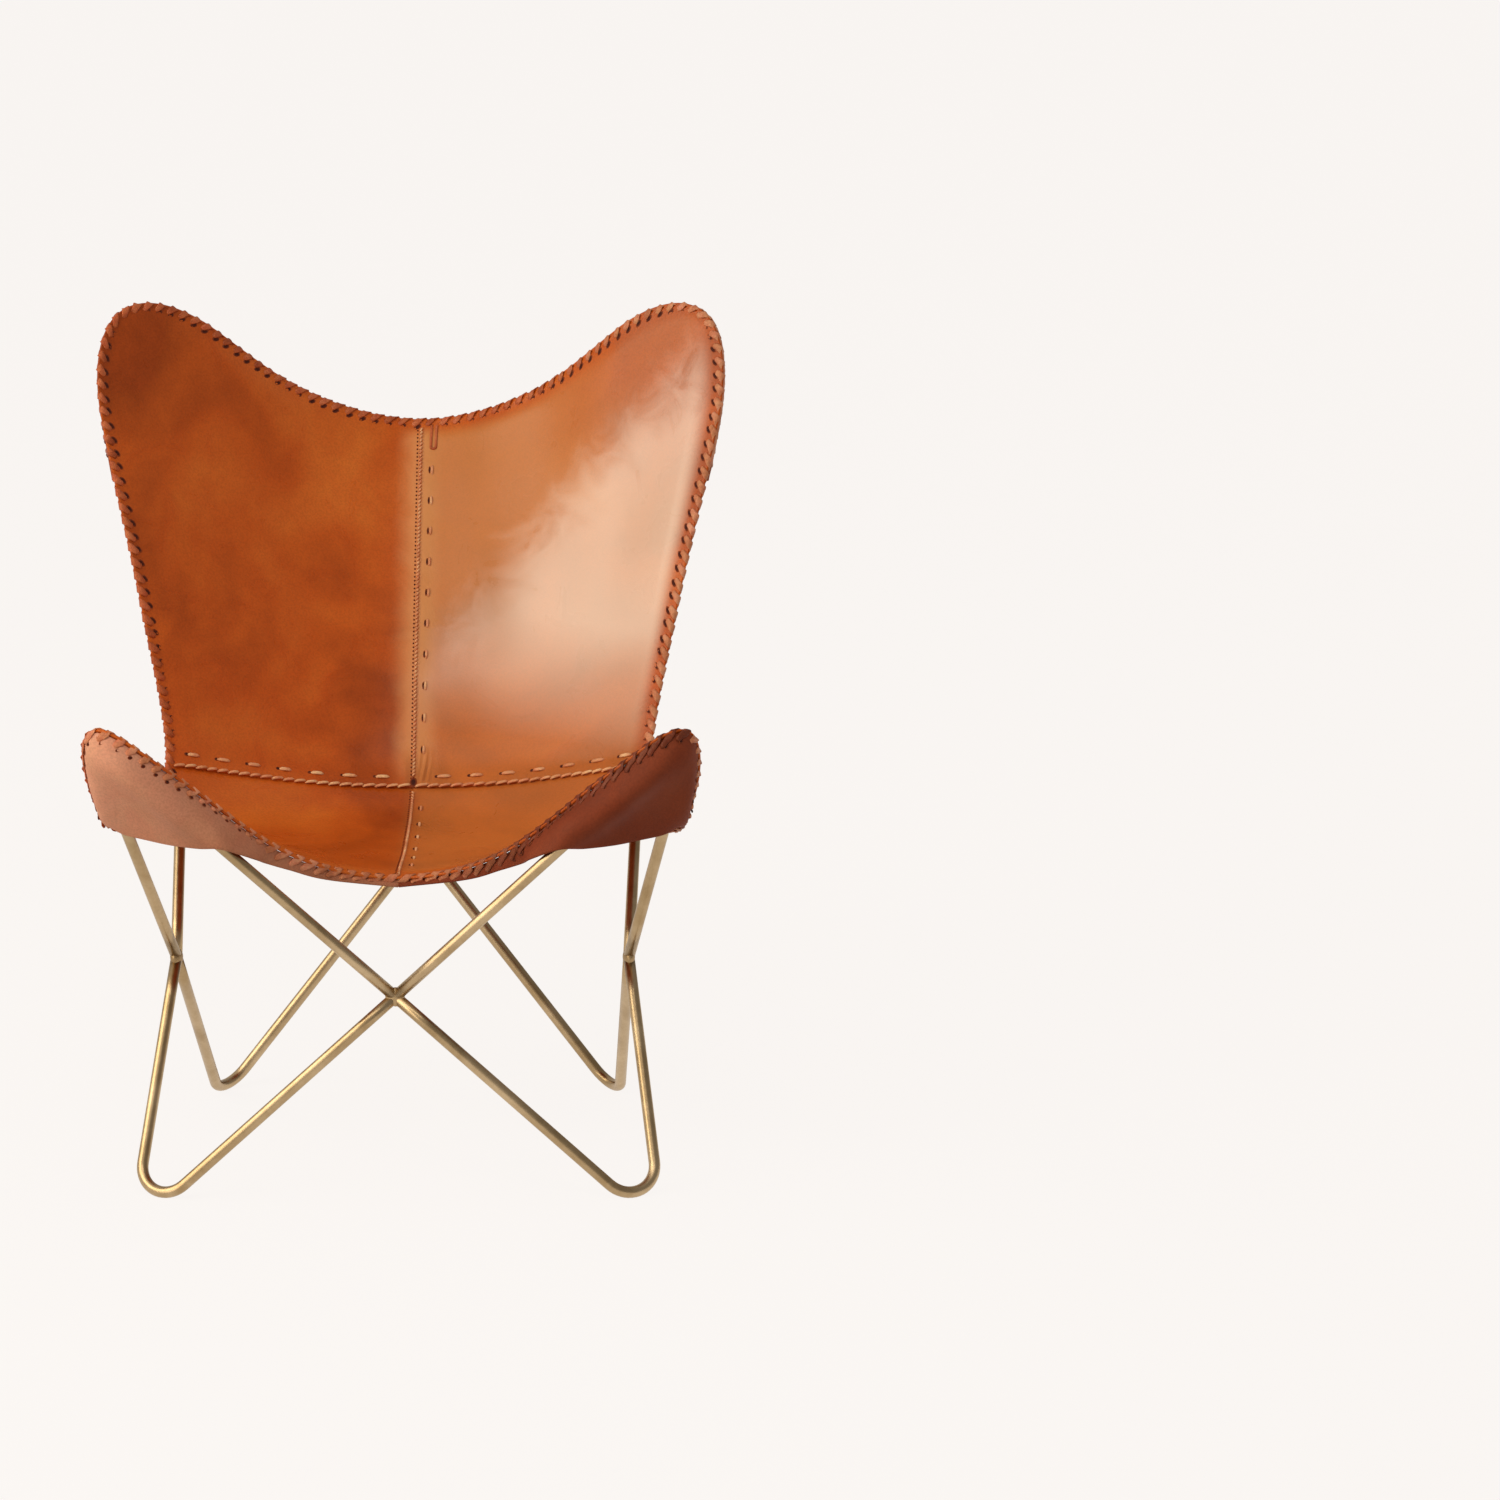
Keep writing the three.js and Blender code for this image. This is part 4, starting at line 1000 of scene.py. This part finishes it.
# Loop at the top of the back seam: down one leg, round half a circle and up the other, lying on the leather
def makeLoop():
    nearX, farX = seam["loop"]
    middleX, radius = (nearX + farX) / 2, (farX - nearX) / 2
    legSteps, turnSteps = seam["loopSteps"]
    leg = np.linspace(seam["loopFrom"], seam["loopTo"], legSteps)
    turn = np.linspace(0, np.pi, turnSteps)[1:-1]
    x = np.concatenate([leg * 0 + nearX, middleX - radius * np.cos(turn), leg * 0 + farX])
    down = np.concatenate([leg, leg[-1] + radius * np.sin(turn), leg[::-1]])
    quarter = quarters["back_right"]
    p, q = x / halfWidth, 1 - down / backLength
    at, out = placeOn(quarter, p, q)
    width, high = seam["loopStrand"]
    path = at - out * (riseOn(quarter, p, q) + leatherHalf + high * seam["loopSunk"])[:, None]
    points, quads, caps, uv = sweep(path[None], -out[None], width, high, seam["loopSides"])
    makePiece("back_top_loop", points, quads, laceLeather, caps, uv)


makeLoop()
run = seamRun(quarters["back_right"], zero, line * seam["crossingReach"],
              seam["crossingPitch"], seam["crossingLift"])
makeHoles("seam_crossing_hole", *run, seam["crossingHole"])
print("seams made")


# Studio: camera as the photograph saw it, pale floor and room, a broad light from the left, a fill and a top

studio = {                               # metres, degrees and watts
    "cameraAt": (0.3824, -5.997, 1.8418), "tilt": 76.73, "lens": 132, "sensor": 36,
    "backdrop": srgb(249, 245, 242), "litSide": (-0.25, 0.4), "skyTint": (1, 0.985, 0.965, 1),
    "skyLight": (0.3, 0.63), "skyGloss": (0.7, 0.3), "aim": (0, 0, 0.55),
    "keyAt": (-2.7, -1.08, 2.15), "keySize": (2.8, 1.8), "keyPower": 51, "keyTint": (1, 0.945, 0.78),
    "fillAt": (-2.2, -2.4, 0.8), "fillSize": (1.4, 1.4), "fillPower": 14, "fillTint": (1, 0.95, 0.86),
    "topAt": (-0.8, -2.2, 3.55), "topSize": (3.2, 1.0), "topPower": 26, "topTint": (1, 0.95, 0.86),
    "floorReach": 40, "floorMatt": (0.55, 0.54, 0.52, 1), "floorGlow": 1.075, "floorShow": 0.1,
}
camera = bpy.data.objects.new("camera", bpy.data.cameras.new("camera"))
camera.location = studio["cameraAt"]
camera.rotation_euler = (np.radians(studio["tilt"]), 0, 0)
camera.data.lens = studio["lens"]
camera.data.sensor_width = studio["sensor"]
bpy.context.scene.collection.objects.link(camera)
bpy.context.scene.camera = camera


def areaLight(name, at, size, power, tint):
    lamp = bpy.data.lights.new(name, "AREA")
    lamp.color = tint
    lamp.shape = "RECTANGLE"
    lamp.size, lamp.size_y = size
    lamp.energy = power
    light = bpy.data.objects.new(name, lamp)
    light.location = at
    away = np.array(at) - np.array(studio["aim"])
    flat = np.hypot(away[0], away[1])
    light.rotation_euler = (np.arctan2(flat, away[2]), 0, np.arctan2(away[0], -away[1]))
    bpy.context.scene.collection.objects.link(light)


for word in ("key", "fill", "top"):
    areaLight(word, *(studio[word + setting] for setting in ("At", "Size", "Power", "Tint")))


def seenRays(tree):                      # 1 for rays that show the backdrop itself
    rays = addNode(tree, "LightPath").outputs
    first = mathOf(tree, "MAXIMUM", rays["Is Camera Ray"], rays["Is Glossy Ray"])
    return mathOf(tree, "MAXIMUM", first, rays["Is Transmission Ray"])


world = bpy.data.worlds.new("studio")
bpy.context.scene.world = world
world.use_nodes = True
sky = world.node_tree
sky.nodes.clear()
toward = addNode(sky, "SeparateXYZ", {0: addNode(sky, "TexCoord").outputs["Generated"]}).outputs["X"]
gloss = rangeOf(sky, toward, *studio["litSide"], *studio["skyGloss"])      # the room is dark on the right
bright = mathOf(sky, "MAXIMUM", addNode(sky, "LightPath").outputs["Is Camera Ray"], gloss)
lit = rangeOf(sky, toward, *studio["litSide"], *studio["skyLight"])
soft = addNode(sky, "Background", {"Color": studio["skyTint"], "Strength": lit})
shown = addNode(sky, "Background", {"Color": studio["backdrop"], "Strength": bright})
either = addNode(sky, "MixShader", {0: seenRays(sky), 1: soft.outputs[0], 2: shown.outputs[0]})
addNode(sky, "OutputWorld", {"Surface": either.outputs[0]})

floorMesh = bpy.data.meshes.new("floor")
reach = studio["floorReach"]
floorCorners = [(-reach, -reach, 0), (reach, -reach, 0), (reach, reach, 0), (-reach, reach, 0)]
floorMesh.from_pydata(floorCorners, [], [(0, 1, 2, 3)])
floor = bpy.data.objects.new("floor", floorMesh)
bpy.context.scene.collection.objects.link(floor)
floorPaint = bpy.data.materials.new("floor_paint")
floorPaint.use_nodes = True
paint = floorPaint.node_tree
paint.nodes.clear()
matt = addNode(paint, "BsdfDiffuse", {"Color": studio["floorMatt"]})
glow = addNode(paint, "Emission", {"Color": studio["backdrop"], "Strength": studio["floorGlow"]})
share = timesOf(paint, seenRays(paint), 1 - studio["floorShow"])
mixed = addNode(paint, "MixShader", {0: share, 1: matt.outputs[0], 2: glow.outputs[0]})
addNode(paint, "OutputMaterial", {"Surface": mixed.outputs[0]})
floorMesh.materials.append(floorPaint)
bpy.context.scene.view_settings.view_transform = "Standard"
print("studio set")
